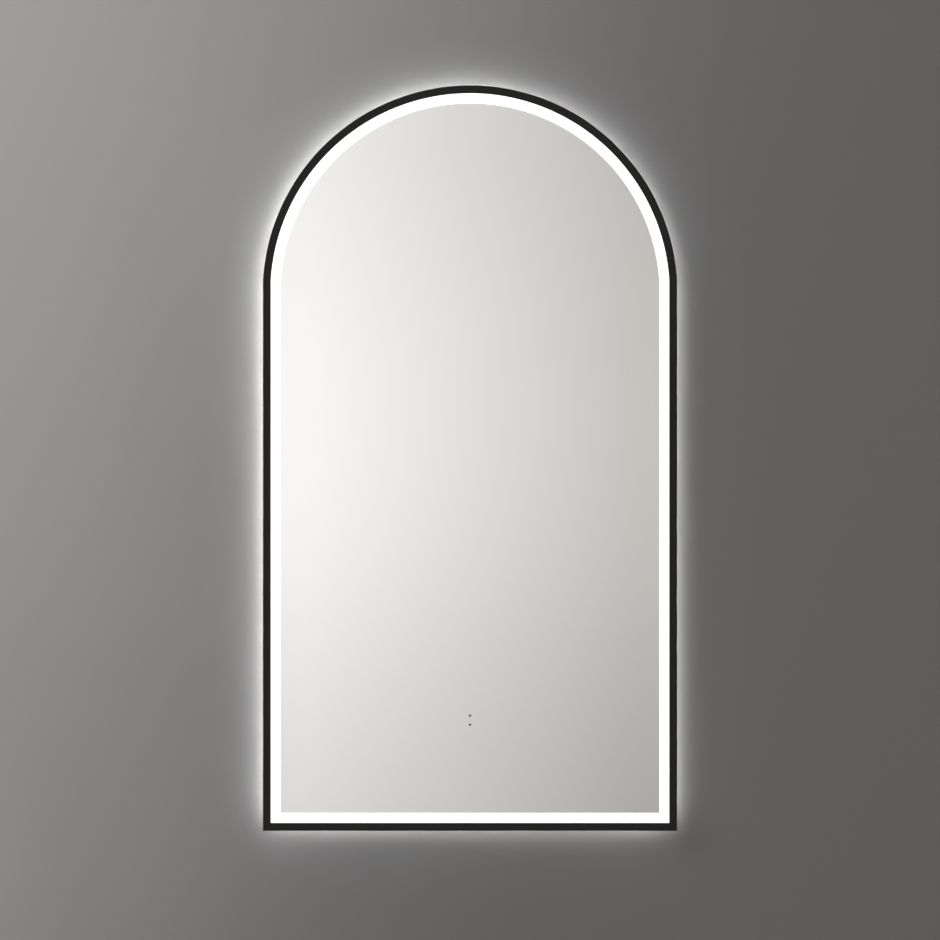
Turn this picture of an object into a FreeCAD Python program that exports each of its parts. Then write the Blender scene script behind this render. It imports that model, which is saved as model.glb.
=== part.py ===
import FreeCAD, Part
import math
import os
import re
import Sketcher

# A lighted bathroom mirror with an arched top, hung on a wall rail.
# Millimetres, +Z up, the front faces -Y and the wall is the plane Y = 0.
# The origin is on the wall, midway between the two screw holes of the wall rail.
# Pieces of the mirror are drawn with Z measured from the frame's bottom edge and Y from the wall,
# and each is then placed lower by the height of the rail's screws.

os.makedirs("parts", exist_ok=True)
doc = FreeCAD.newDocument("LightedMirror")
sizes = doc.addObject("Spreadsheet::Sheet", "Sizes")

driving = {
    # outline
    "overall_width": 500,
    "overall_height": 900,
    "overall_depth": 38,
    "arch_drop": 15.6,  # half the width less the arch's rise: the arch meets the legs at an angle
    "wall_gap": 12,  # back edge of the frame to the wall
    "rail_drop": 45.6,  # from where the legs meet the arch down to the screws of the wall rail
    # frame profile
    "frame_wall": 1.5,
    "lip_width": 9,
    "lip_thickness": 1.5,
    "edge_break": 0.5,
    "carrier_width": 25,  # outer face to the inner wall's inner face
    "front_chamber": 7.5,
    "ledge_width": 2,
    "rib": 1,
    "key_lip": 1.6,
    # keys
    "key_width": 6,
    "key_thickness": 2,
    "key_leg": 32,
    "key_play": 0.2,
    "key_screw_radius": 1.5,
    "key_screw_length": 2.8,
    "key_screw_margin": 6,
    # glass pack
    "glass_thickness": 5,
    "glass_play": 1,
    "silver_thickness": 0.2,
    "band_width": 13,
    "diffuser_thickness": 2,
    "diffuser_play": 0.5,
    "cover_thickness": 1.5,
    "cover_play": 0.3,
    "block_length": 30,
    "block_spacing": 300,
    # light
    "strip_width": 5,
    "strip_thickness": 0.3,
    "strip_gap": 10,
    "tape": 0.1,
    "led_pitch": 20,
    "led_length": 3.5,
    "led_width": 2.8,
    "led_height": 0.7,
    "solder": 0.02,
    # crossbars and tray
    "bar_thickness": 1.5,
    "bar_margin": 6,
    "bar_bend": 1.5,
    "bar_screw_share": 0.25,  # of a bar's height, from its edge to the nearer screw
    "tab_reach": 15,  # how far the end tabs come forward of the bar
    "lower_bar_height": 32,
    "lower_bar_rise": 44,
    "tray_rise": 226,
    "tray_height": 96,
    "tray_depth": 15,
    "tray_gap": 0.5,
    "tray_slot_width": 70,
    "tray_slot_depth": 10.5,
    "tray_relief": 3,
    "tray_screw_share": 0.2,
    "frame_screw_radius": 2,
    "frame_screw_head": 3.6,
    "frame_screw_head_height": 2.2,
    "frame_screw_tip": 2,
    "screw_play": 0.1,
    # hanging
    "rail_thickness": 2,
    "rail_length": 380,
    "rail_below": 14,
    "rail_shelf": 12,
    "hook_height": 12,
    "hook_play": 0.8,
    "hook_seat": 0.3,
    "hook_foot": 2,
    "rail_bend": 0.8,
    "hanger_length": 400,
    "hanger_height": 36,
    "wall_hole_radius": 2.75,
    "wall_hole_spacing": 300,
    "hanger_screw_rise": 2,
    "hanger_screw_inner": 110,
    "hanger_screw_outer": 340,
    "nut_across": 7,
    "nut_height": 3.2,
    # bumpers
    "bumper_radius": 9,
    "bumper_stem": 3,
    "bumper_barb": 1,
    "bumper_spacing": 360,
    # control box
    "box_width": 204,
    "box_height": 66,
    "box_depth": 18,
    "box_wall": 2,
    "box_corner": 6,
    "box_tape": 1,
    "box_tape_width": 18,
    "box_tape_inset": 14,
    "box_divider": 48,  # left end wall to the wall between terminals and driver
    "lid_thickness": 2,
    "lid_lip": 1.5,
    "boss_radius": 4.5,
    "box_screw_radius": 1.5,
    "box_screw_head": 2.8,
    "box_screw_sink": 1,
    "box_screw_length": 9,
    "vent_width": 1.8,
    "vent_length": 22,
    "vent_pitch": 5,
    "vent_count": 9,
    "driver_width": 118,
    "driver_height": 42,
    "driver_depth": 13,
    "driver_corner": 2.5,
    "driver_step": 10,
    "terminal_width": 14,
    "terminal_height": 30,
    "terminal_depth": 12,
    "terminal_count": 3,
    "terminal_well": 2.5,
    "terminal_well_depth": 4,
    "terminal_entry": 2,
    "terminal_entry_depth": 7,
    # cable gland
    "gland_thread": 6,
    "gland_bore": 3.5,
    "gland_across": 15,
    "gland_hex": 5,
    "gland_dome": 9,
    "gland_rounding": 2.2,
    "gland_inside": 7,
    "locknut_height": 3.5,
    # leads
    "lead_radius": 1.25,
    "lead_play": 0.15,
    "lead_inside": 5,
    "lead_pitch": 14,
    "lead_start": 30,  # centre line to the first lead out of the box
    "lead_drop": 12,  # straight part of a lead past the tray
    "lead_fall": 26,  # height over which it then comes forward to the glass
    "lead_rest": 28,  # lower crossbar to where a lead leaves the glass
    "lead_sway": 6,
    "lead_lift": 4,
    "lead_swing": 44,  # height over which a lead swings to the middle of the bottom rail
    "lead_dive": 14,  # straight part above the bottom rail
    "grommet_neck": 2.8,
    "grommet_flange": 4,
    "grommet_flange_height": 1.2,
    "saddle_wall": 1.4,
    "saddle_run": 22,  # from a bend of a lead to the saddle that holds its straight run
    "saddle_foot": 5,
    "saddle_length": 7,
    # demister
    "pad_width": 270,
    "pad_height": 190,
    "pad_rise": 370,
    "pad_thickness": 0.4,
    "pad_corner": 12,
    "cap_width": 22,
    "cap_height": 14,
    "cap_thickness": 4,
    # sensor
    "sensor_rise": 133.7,
    "sensor_pitch": 11,
    "window_radius": 1.15,
    "sensor_width": 24,
    "sensor_height": 36,
    "sensor_depth": 9,
    "sensor_wall": 1.5,
    "sensor_cover_depth": 6,
    "sensor_corner": 3,
    "board_thickness": 1.6,
    "board_play": 0.3,
    "diode_radius": 1.5,
    "diode_flange": 2,
    "diode_flange_height": 1,
    "diode_reach": 5.5,
    "diode_play": 0.2,
    "diode_dome": 1.2,
}
for row, (alias, value) in enumerate(driving.items(), 1):
    sizes.set(f"A{row}", alias)
    sizes.set(f"B{row}", str(value))
    sizes.setAlias(f"B{row}", alias)
doc.recompute()

places = {}
saw_allowance = 1  # how far a cut runs past what it cuts, and a blank past its mitre
tolerance = 1e-6
bend_share = 0.45  # of the shorter of two runs of a lead, what the arc between them may take


def formula(text):
    """The text with each size spelt as a cell of the sheet and each worked-out place spelt in full."""

    def spelt(match):
        word = match.group()
        if word in driving:
            return f"Sizes.{word}"
        return f"({places[word]})" if word in places else word

    return re.sub(r"[a-z][a-z_0-9]*", spelt, str(text))


def number(text):
    return float(sizes.evalExpression(formula(text)))


def place(name, text):
    places[name] = formula(text)


# The arch is less than half a circle: it ends a little above its centre, at an angle to the legs.
place("half_width", "overall_width / 2")
place("arch_rise", "half_width - arch_drop")
place("arch_radius", "(half_width^2 + arch_rise^2) / (2 * arch_rise)")
place("arch_centre", "overall_height - arch_radius")
place("spring", "overall_height - arch_rise")
place("kink", "asin((spring - arch_centre) / arch_radius) / (1 deg)")
place("rail_height", "spring - rail_drop")

# Levels are distances from the wall, from the front face back to the frame's back edge.
place("front", "overall_depth")
place("lip_back", "front - lip_thickness")
place("glass_back", "lip_back - glass_thickness")
place("silver_back", "glass_back - silver_thickness")
place("diffuser_back", "silver_back - diffuser_thickness")
place("web_front", "diffuser_back - front_chamber")
place("web_back", "web_front - frame_wall")
place("groove_top", "web_back - key_thickness - key_play")
place("groove_back", "groove_top - rib")
place("cover_front", "wall_gap + cover_thickness")
place("tray_floor", "silver_back - tray_gap - bar_thickness")  # back face of the gear tray's floor
place("screw_level", "tray_floor - frame_screw_head - 2 * screw_play")

# Insets are distances inward from the frame's outer face.
place("groove_side", "frame_wall + key_width + 2 * key_play")
place("inner_wall", "carrier_width - frame_wall")
place("inside", "half_width - carrier_width")
place("band_edge", "lip_width + band_width")
place("glass_inset", "frame_wall + glass_play")


def plane(body, role):
    return next(item for item in body.Origin.OriginFeatures if item.Role == role)


def new_body(label, on_mirror=True):
    body = doc.addObject("PartDesign::Body", label)
    body.Label = label
    body.AllowCompound = True
    if on_mirror:
        body.setExpression(".Placement.Base.z", formula("-rail_height"))
    return body


def new_sketch(body, role, offset="0"):
    sketch = body.newObject("Sketcher::SketchObject", f"{body.Label}_sketch")
    sketch.AttachmentSupport = [(plane(body, role), "")]
    sketch.MapMode = "FlatFace"
    sketch.setExpression(".AttachmentOffset.Base.z", formula(offset))
    return sketch


def bind(sketch, constraints):
    """Adds constraints, each a Sketcher constraint and the formula of its value or None."""
    first = sketch.ConstraintCount
    sketch.addConstraint([constraint for constraint, _ in constraints])
    for index, (_, text) in enumerate(constraints):
        if text is not None:
            sketch.setExpression(f"Constraints[{first + index}]", formula(text))


def draw(sketch, corners):
    """A closed outline. A corner is (x, y), or (x, y, centre x, centre y) where an arc leaves it."""
    points = [FreeCAD.Vector(number(corner[0]), number(corner[1]), 0) for corner in corners]
    first = sketch.GeometryCount
    ends = []
    bound = []
    for index, corner in enumerate(corners):
        here = points[index]
        there = points[(index + 1) % len(corners)]
        if len(corner) == 2:
            sketch.addGeometry(Part.LineSegment(here, there))
            ends.append((1, 2))
            continue
        centre = FreeCAD.Vector(number(corner[2]), number(corner[3]), 0)
        forward = (here - centre).cross(there - centre).z > 0
        start, stop = (here, there) if forward else (there, here)
        angles = [math.atan2(point.y - centre.y, point.x - centre.x) for point in (start, stop)]
        circle = Part.Circle(centre, FreeCAD.Vector(0, 0, 1), (here - centre).Length)
        sketch.addGeometry(Part.ArcOfCircle(circle, *angles))
        ends.append((1, 2) if forward else (2, 1))
        flat = abs(there.x - here.x) > abs(there.y - here.y)
        kind, text = ("DistanceY", corner[3]) if flat else ("DistanceX", corner[2])
        value = centre.y if flat else centre.x
        bound.append((Sketcher.Constraint(kind, -1, 1, first + index, 3, value), text))
    for index, corner in enumerate(corners):
        following = (index + 1) % len(corners)
        end = (first + index, ends[index][1])
        start = (first + following, ends[following][0])
        bound.append((Sketcher.Constraint("Coincident", *end, *start), None))
        spot = (first + index, ends[index][0])
        bound.append((Sketcher.Constraint("DistanceX", -1, 1, *spot, points[index].x), corner[0]))
        bound.append((Sketcher.Constraint("DistanceY", -1, 1, *spot, points[index].y), corner[1]))
    bind(sketch, bound)


def draw_circles(sketch, centres, radius):
    bound = []
    for x, y in centres:
        middle = FreeCAD.Vector(number(x), number(y), 0)
        circle = sketch.addGeometry(Part.Circle(middle, FreeCAD.Vector(0, 0, 1), number(radius)))
        bound.append((Sketcher.Constraint("DistanceX", -1, 1, circle, 3, middle.x), x))
        bound.append((Sketcher.Constraint("DistanceY", -1, 1, circle, 3, middle.y), y))
        bound.append((Sketcher.Constraint("Radius", circle, number(radius)), radius))
    bind(sketch, bound)


def rectangle(left, bottom, right, top):
    return [(left, bottom), (right, bottom), (right, top), (left, top)]


def round_rectangle(left, bottom, right, top, radius):
    """Corners of a rectangle whose four corners are quarter circles."""
    low_x, high_x = f"({left}) + {radius}", f"({right}) - {radius}"
    low_y, high_y = f"({bottom}) + {radius}", f"({top}) - {radius}"
    return [
        (low_x, bottom),
        (high_x, bottom, high_x, low_y),
        (right, low_y),
        (right, high_y, high_x, high_y),
        (high_x, top),
        (low_x, top, low_x, high_y),
        (left, high_y),
        (left, low_y, low_x, low_y),
    ]


def hexagon(x, y, across):
    """Corners of a hexagon with two sides square to the sketch's first axis."""
    reach = f"({across}) / 2"
    rise = f"({across}) / 2 * tan(30)"
    tip = f"({across}) / 2 / cos(30)"
    return [
        (f"{x} + {reach}", f"{y} - {rise}"),
        (f"{x} + {reach}", f"{y} + {rise}"),
        (x, f"{y} + {tip}"),
        (f"{x} - {reach}", f"{y} + {rise}"),
        (f"{x} - {reach}", f"{y} - {rise}"),
        (x, f"{y} - {tip}"),
    ]


def pad(body, sketch, length, reverse=False, middle=False):
    feature = body.newObject("PartDesign::Pad", f"{body.Label}_pad")
    feature.Profile = sketch
    feature.setExpression("Length", formula(length))
    feature.Reversed = reverse
    feature.Midplane = middle
    sketch.Visibility = False
    return feature


def pocket(body, sketch, length, reverse=False, middle=False):
    """A pocket, which must take something away."""
    doc.recompute()
    before = body.Shape.Volume
    feature = body.newObject("PartDesign::Pocket", f"{body.Label}_pocket")
    feature.Profile = sketch
    feature.setExpression("Length", formula(length))
    feature.Reversed = reverse
    feature.Midplane = middle
    sketch.Visibility = False
    doc.recompute()
    if not body.Shape.Volume < before:
        raise RuntimeError(f"{feature.Name} cuts nothing")
    return feature


def round_edges(body, radius, chosen):
    """Rounds the edges that chosen picks."""
    doc.recompute()
    names = [f"Edge{index}" for index, edge in enumerate(body.Shape.Edges, 1) if chosen(edge)]
    if not names:
        raise RuntimeError(f"{body.Label} has no such edge")
    base = body.Tip
    feature = body.newObject("PartDesign::Fillet", f"{body.Label}_fillet")
    feature.Base = (base, names)
    feature.setExpression("Radius", formula(radius))
    return feature


def lies_at(edge, **where):
    """True for an edge whose ends all have the given coordinates."""
    return all(
        abs(getattr(vertex.Point, axis) - value) < tolerance
        for vertex in edge.Vertexes
        for axis, value in where.items()
    )


def plate(label, outlines, back, thickness, holes=()):
    """A flat piece parallel to the wall: its outlines, the level of its back face, and its thickness."""
    body = new_body(label)
    sketch = new_sketch(body, "XZ_Plane", back)
    for corners in outlines:
        draw(sketch, corners)
    for centres, radius in holes:
        draw_circles(sketch, centres, radius)
    pad(body, sketch, thickness)
    return body


def new_shape(label, shape):
    """A piece that is neither padded nor revolved, placed like the bodies of the mirror."""
    item = doc.addObject("Part::Feature", label)
    item.Label = label
    item.Shape = shape
    item.setExpression(".Placement.Base.z", formula("-rail_height"))
    return item


def mirrored(points):
    """The points, then the same ones on the other side of the centre line."""
    return points + [(f"-({x})", y) for x, y in points]


def outline(inset):
    """Corners of the mirror's outline moved inward by the inset."""
    side = f"(half_width - ({inset}))"
    top = spring_at(inset)
    return [
        (f"-{side}", inset),
        (side, inset),
        (side, top, "0", "arch_centre"),
        (f"-{side}", top),
    ]


def open_band(outer, inner, gap):
    """Corners of a band between two insets that is open at the middle of the bottom rail."""
    out = outline(outer)
    back = outline(inner)
    half_gap = f"({gap}) / 2"
    return [
        (half_gap, outer),
        out[1],
        out[2],
        out[3],
        out[0],
        (f"-{half_gap}", outer),
        (f"-{half_gap}", inner),
        back[0],
        (*back[3], "0", "arch_centre"),
        back[2][:2],
        back[1],
        (half_gap, inner),
    ]


# ---- Frame: one extruded profile, bent for the arch and cut for the legs and the bottom rail


def profile():
    """The profile's section as pairs of inset and level.

    From the front: the lip, the glass slot, the chamber behind the lit band, the web, the key groove,
    the chamber of the halo and the ribs that carry its cover.
    """
    groove_wall = "groove_side + frame_wall"
    rib_level = "cover_front + rib"
    return [
        ("0", "front - edge_break"),
        ("edge_break", "front"),
        ("lip_width", "front"),
        ("lip_width", "lip_back"),
        ("frame_wall", "lip_back"),
        ("frame_wall", "diffuser_back"),
        ("frame_wall + ledge_width", "diffuser_back"),
        ("frame_wall + ledge_width", "diffuser_back - rib"),
        ("frame_wall", "diffuser_back - rib"),
        ("frame_wall", "web_front"),
        ("inner_wall", "web_front"),
        ("inner_wall", "diffuser_back"),
        ("carrier_width", "diffuser_back"),
        ("carrier_width", "wall_gap"),
        ("inner_wall", "wall_gap"),
        ("inner_wall", "cover_front"),
        ("inner_wall - rib", "cover_front"),
        ("inner_wall - rib", rib_level),
        ("inner_wall", rib_level),
        ("inner_wall", "web_back"),
        (groove_wall, "web_back"),
        (groove_wall, "groove_back"),
        ("groove_side - key_lip", "groove_back"),
        ("groove_side - key_lip", "groove_top"),
        ("groove_side", "groove_top"),
        ("groove_side", "web_back"),
        ("frame_wall", "web_back"),
        ("frame_wall", "groove_top"),
        ("frame_wall + key_lip", "groove_top"),
        ("frame_wall + key_lip", "groove_back"),
        ("frame_wall", "groove_back"),
        ("frame_wall", rib_level),
        ("frame_wall + rib", rib_level),
        ("frame_wall + rib", "cover_front"),
        ("frame_wall", "cover_front"),
        ("frame_wall", "wall_gap"),
        ("0", "wall_gap"),
    ]


def joint_drop(inset):
    """Height of the cut between leg and arch at an inset: the plane that halves the angle between them."""
    return f"spring - ({inset}) * tan(kink / 2)"


place("hook_top", "rail_height + rail_shelf + hook_height")  # top edge of the wall rail's hook
place("hanger_top", "hook_top + hook_seat + rail_thickness")
place("upper_bar_bottom", "hanger_top - hanger_height - bar_margin")
place("upper_bar_height", "hanger_height + 2 * bar_margin")


def screw_pair(bottom, height, share):
    """Heights of the two screws at each end of a bar."""
    return [f"{bottom} + {height} * {share}", f"{bottom} + {height} * (1 - {share})"]


screw_rises = {
    "upper": screw_pair("upper_bar_bottom", "upper_bar_height", "bar_screw_share"),
    "lower": screw_pair("lower_bar_rise", "lower_bar_height", "bar_screw_share"),
    "tray": screw_pair("tray_rise", "tray_height", "tray_screw_share"),
}


def leg(label, side):
    body = new_body(label)
    section = new_sketch(body, "XY_Plane")
    draw(section, [(f"{side} * (half_width - ({inset}))", f"-({level})") for inset, level in profile()])
    pad(body, section, "spring")

    outer = f"{side} * half_width"
    past = f"{side} * (half_width + {saw_allowance})"
    inner = f"{side} * (half_width - carrier_width - {saw_allowance})"
    reach = f"(carrier_width + {saw_allowance})"
    mitres = new_sketch(body, "XZ_Plane")
    draw(mitres, [(past, f"-{saw_allowance}"), (inner, reach), (inner, f"-{saw_allowance}")])
    above = f"spring + {saw_allowance}"
    draw(mitres, [(outer, "spring"), (inner, joint_drop(reach)), (inner, above), (outer, above)])
    pocket(body, mitres, "2 * overall_depth", middle=True)

    holes = new_sketch(body, "YZ_Plane", f"{side} * (half_width - carrier_width + frame_wall / 2)")
    rises = [rise for pair in screw_rises.values() for rise in pair]
    draw_circles(holes, [("-screw_level", rise) for rise in rises], "frame_screw_radius + screw_play")
    pocket(body, holes, f"frame_wall + {saw_allowance}", middle=True)
    return body


def bottom_rail():
    body = new_body("frame_bottom_rail")
    section = new_sketch(body, "YZ_Plane")
    draw(section, [(f"-({level})", inset) for inset, level in profile()])
    pad(body, section, "overall_width", middle=True)

    mitres = new_sketch(body, "XZ_Plane")
    for side in ("", "-"):
        outer = f"{side}(half_width + {saw_allowance})"
        inner = f"{side}(half_width - carrier_width - {saw_allowance})"
        top = f"carrier_width + {saw_allowance}"
        draw(mitres, [(outer, f"-{saw_allowance}"), (outer, top), (inner, top)])
    pocket(body, mitres, "2 * overall_depth", middle=True)

    holes = new_sketch(body, "XY_Plane", "carrier_width - frame_wall / 2")
    lead_holes = [("front_lead_x", "-screw_level"), ("0", "-halo_lead_level")]
    draw_circles(holes, lead_holes, "lead_radius + lead_play")
    pocket(body, holes, f"frame_wall + {saw_allowance}", middle=True)
    return body


def arch():
    body = new_body("frame_arch")
    section = new_sketch(body, "YZ_Plane")
    draw(section, [(f"-({level})", f"overall_height - ({inset})") for inset, level in profile()])
    axis = new_sketch(body, "YZ_Plane")
    half = number("overall_depth")
    height = number("arch_centre")
    ends = (FreeCAD.Vector(-half, height, 0), FreeCAD.Vector(half, height, 0))
    bend_line = axis.addGeometry(Part.LineSegment(*ends))
    bind(axis, [
        (Sketcher.Constraint("Horizontal", bend_line), None),
        (Sketcher.Constraint("DistanceX", -1, 1, bend_line, 1, -half), "-overall_depth"),
        (Sketcher.Constraint("DistanceX", -1, 1, bend_line, 2, half), "overall_depth"),
        (Sketcher.Constraint("DistanceY", -1, 1, bend_line, 1, height), "arch_centre"),
    ])
    bend = body.newObject("PartDesign::Revolution", "frame_arch_bend")
    bend.Profile = section
    bend.ReferenceAxis = (axis, ["Edge1"])
    bend.Midplane = True
    bend.setExpression("Angle", formula(f"180 - 2 * kink + 2 * {saw_allowance}"))
    section.Visibility = False

    mitres = new_sketch(body, "XZ_Plane")
    past = f"(half_width + {saw_allowance})"
    reach = f"(carrier_width + {saw_allowance})"
    low = "spring - carrier_width"
    for side in ("", "-"):
        draw(mitres, [
            (f"{side}{past}", low),
            (f"{side}{past}", joint_drop(f"-{saw_allowance}")),
            (f"{side}(half_width - {reach})", joint_drop(reach)),
            (f"{side}(half_width - {reach})", low),
        ])
    pocket(body, mitres, "2 * overall_depth", middle=True)
    return body


# ---- Keys in the groove behind the web, each jammed by two grub screws

place("key_outer", "frame_wall + key_play")
place("key_inner", "key_outer + key_width")
place("key_middle", "key_outer + key_width / 2")
place("key_end", "kink + key_leg / arch_radius * 180 / pi")  # the arch's angle where a splice key ends
place("key_back", "web_back - key_thickness")


def corner_keys():
    outlines = []
    for side in ("", "-"):
        outlines.append([
            (f"{side}(half_width - key_outer)", "key_outer"),
            (f"{side}(half_width - key_outer)", "key_outer + key_leg"),
            (f"{side}(half_width - key_inner)", "key_outer + key_leg"),
            (f"{side}(half_width - key_inner)", "key_inner"),
            (f"{side}(half_width - key_outer - key_leg)", "key_inner"),
            (f"{side}(half_width - key_outer - key_leg)", "key_outer"),
        ])
    radius = "key_screw_radius + key_play / 2"
    return plate("corner_keys", outlines, "key_back", "key_thickness", [(corner_screws(), radius)])


def corner_screws():
    far = "key_outer + key_leg - key_screw_margin"
    return mirrored([("half_width - key_middle", far), (f"half_width - ({far})", "key_middle")])


def spring_at(inset):
    """Height where a line at an inset passes from leg to arch."""
    return f"(arch_centre + sqrt((arch_radius - ({inset}))^2 - (half_width - ({inset}))^2))"


def on_arch(inset, angle):
    """A place on the arch's right half at an inset and an angle above its centre."""
    radius = f"(arch_radius - ({inset}))"
    return f"{radius} * cos({angle})", f"arch_centre + {radius} * sin({angle})"


def splice_keys():
    """Keys that are straight in the leg and bent with the arch."""
    outlines = []
    foot = f"{spring_at('key_outer')} - key_leg"
    for side in ("", "-"):
        outer_x, outer_z = on_arch("key_outer", "key_end")
        inner_x, inner_z = on_arch("key_inner", "key_end")
        outlines.append([
            (f"{side}(half_width - key_outer)", foot),
            (f"{side}(half_width - key_outer)", spring_at("key_outer"), "0", "arch_centre"),
            (f"{side}({outer_x})", outer_z),
            (f"{side}({inner_x})", inner_z, "0", "arch_centre"),
            (f"{side}(half_width - key_inner)", spring_at("key_inner")),
            (f"{side}(half_width - key_inner)", foot),
        ])
    radius = "key_screw_radius + key_play / 2"
    return plate("splice_keys", outlines, "key_back", "key_thickness", [(splice_screws(), radius)])


def splice_screws():
    low = f"{spring_at('key_outer')} - key_leg + key_screw_margin"
    high = on_arch("key_middle", "key_end - key_screw_margin / arch_radius * 180 / pi")
    return mirrored([("half_width - key_middle", low), high])


def key_screws():
    body = new_body("key_screws")
    sketch = new_sketch(body, "XZ_Plane", "web_back - key_screw_length")
    draw_circles(sketch, corner_screws() + splice_screws(), "key_screw_radius")
    pad(body, sketch, "key_screw_length")
    return body


# ---- Glass, silvering, diffusers and the blocks that the glass stands on


def glass_pack():
    plate("mirror_glass", [outline("glass_inset")], "glass_back", "glass_thickness")
    windows = [(diode_places(), "window_radius")]
    plate("mirror_silvering", [outline("band_edge")], "silver_back", "silver_thickness", windows)
    ring = [outline("frame_wall + diffuser_play"), outline("carrier_width")]
    plate("front_diffuser", ring, "diffuser_back", "diffuser_thickness")
    ring = [outline("frame_wall + cover_play"), outline("inner_wall - cover_play")]
    plate("halo_diffuser", ring, "wall_gap", "cover_thickness")


def setting_blocks():
    outlines = []
    for side in ("-", ""):
        middle = f"{side}block_spacing / 2"
        ends = (f"{middle} - block_length / 2", f"{middle} + block_length / 2")
        outlines.append(rectangle(ends[0], "frame_wall", ends[1], "glass_inset"))
    return plate("setting_blocks", outlines, "glass_back", "glass_thickness")


# ---- Light: a strip on the outer wall behind the lit band, and one on the inner wall for the halo

place("front_strip_back", "(diffuser_back - rib + web_front - strip_width) / 2")
place("halo_strip_back", "(web_back + cover_front + rib - strip_width) / 2")
place("halo_lead_level", "halo_strip_back + strip_width / 2")
place("front_strip_inset", "frame_wall + tape")
place("halo_strip_inset", "inner_wall - tape - strip_thickness")
place("front_lead_x", "strip_gap")


def led_strip(label, inset, back):
    band = open_band(inset, f"{inset} + strip_thickness", "strip_gap")
    return plate(label, [band], back, "strip_width")


def strip_edges(inset, level):
    """The runs of a strip at an inset: bottom right, right leg, arch, left leg and bottom left."""
    side = number("half_width") - inset
    top = number(spring_at(inset))
    half_gap = number("strip_gap") / 2
    right = [(half_gap, inset), (side, inset), (side, top)]
    left = [(-x, z) for x, z in reversed(right)]
    corners = [FreeCAD.Vector(x, level, z) for x, z in right + left]
    crown = FreeCAD.Vector(0, level, number("overall_height") - inset)
    legs = [Part.LineSegment(*corners[index : index + 2]).toShape() for index in (0, 1, 3, 4)]
    bow = Part.Arc(corners[2], crown, corners[3]).toShape()
    return [*legs[:2], bow, *legs[2:]]


def led_row(label, inset, facing, back):
    """Chips at an even pitch along one face of a strip."""
    edges = strip_edges(inset, -(number(back) + number("strip_width") / 2))
    length = number("led_length")
    width = number("led_width")
    height = number("led_height")
    pitch = number("led_pitch")
    chips = []
    for edge in edges:
        count = int((edge.Length - length) // pitch)
        spare = (edge.Length - count * pitch) / 2
        for step in range(count + 1):
            at = edge.getParameterByLength(spare + step * pitch)
            along = edge.tangentAt(at)
            out = along.cross(FreeCAD.Vector(0, 1, 0)) * facing
            chip = Part.makeBox(length, width, height, FreeCAD.Vector(-length / 2, -width / 2, 0))
            turn = FreeCAD.Rotation(along, out.cross(along), out, "XYZ")
            chip.Placement = FreeCAD.Placement(edge.valueAt(at), turn)
            chips.append(chip)
    return new_shape(label, Part.makeCompound(chips))


# ---- Crossbars and gear tray, screwed to the inner walls of the legs

place("bar_front", "wall_gap + bar_thickness")
place("tab_front", "bar_front + tab_reach")
place("tray_back", "tray_floor - tray_depth")
place("tray_middle", "tray_rise + tray_height / 2")
place("tray_top", "tray_rise + tray_height")


def crossbar(label, bottom, height, rises, centres, radius):
    body = new_body(label)
    section = new_sketch(body, "XY_Plane", bottom)
    draw(section, [
        ("-inside", "-wall_gap"),
        ("inside", "-wall_gap"),
        ("inside", "-tab_front"),
        ("inside - bar_thickness", "-tab_front"),
        ("inside - bar_thickness", "-bar_front"),
        ("-(inside - bar_thickness)", "-bar_front"),
        ("-(inside - bar_thickness)", "-tab_front"),
        ("-inside", "-tab_front"),
    ])
    pad(body, section, height)
    side = number("inside")
    back = -number("wall_gap")
    round_edges(body, "bar_bend", lambda edge: any(lies_at(edge, x=x, y=back) for x in (side, -side)))
    back_holes = new_sketch(body, "XZ_Plane", "wall_gap + bar_thickness / 2")
    draw_circles(back_holes, centres, radius)
    pocket(body, back_holes, f"bar_thickness + {saw_allowance}", middle=True)
    tab_holes(body, rises)
    return body


def tab_holes(body, rises):
    """Screw holes through both end tabs."""
    for side in ("", "-"):
        sketch = new_sketch(body, "YZ_Plane", f"{side}(inside - bar_thickness / 2)")
        draw_circles(sketch, [("-screw_level", rise) for rise in rises], "frame_screw_radius + screw_play")
        pocket(body, sketch, f"bar_thickness + {saw_allowance}", middle=True)


def gear_tray():
    """A folded pan, open to the back, with relief cuts at its corners and two slots for leads."""
    body = new_body("gear_tray")
    pan = new_sketch(body, "XZ_Plane", "tray_back")
    draw(pan, rectangle("-inside", "tray_rise", "inside", "tray_top"))
    pad(body, pan, "tray_depth + bar_thickness")

    behind = f"tray_back - {saw_allowance}"
    below = f"tray_rise - {saw_allowance}"
    above = f"tray_top + {saw_allowance}"
    hollow = new_sketch(body, "XZ_Plane", behind)
    side = "(inside - bar_thickness)"
    draw(hollow, rectangle(f"-{side}", "tray_rise + bar_thickness", side, "tray_top - bar_thickness"))
    pocket(body, hollow, f"tray_depth + {saw_allowance}", reverse=True)

    relief = new_sketch(body, "XZ_Plane", behind)
    for side in ("", "-"):
        near = f"{side}(inside - tray_relief)"
        far = f"{side}(inside + {saw_allowance})"
        draw(relief, rectangle(near, below, far, "tray_rise + tray_relief"))
        draw(relief, rectangle(near, "tray_top - tray_relief", far, above))
    pocket(body, relief, f"tray_depth + {saw_allowance}", reverse=True)

    slots = new_sketch(body, "XZ_Plane", behind)
    left = "lead_start - lead_pitch"
    right = f"{left} + tray_slot_width"
    draw(slots, rectangle(left, below, right, f"tray_rise + bar_thickness + {saw_allowance}"))
    draw(slots, rectangle(left, f"tray_top - bar_thickness - {saw_allowance}", right, above))
    pocket(body, slots, f"tray_slot_depth + {saw_allowance}", reverse=True)
    tab_holes(body, screw_rises["tray"])
    return body


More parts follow.
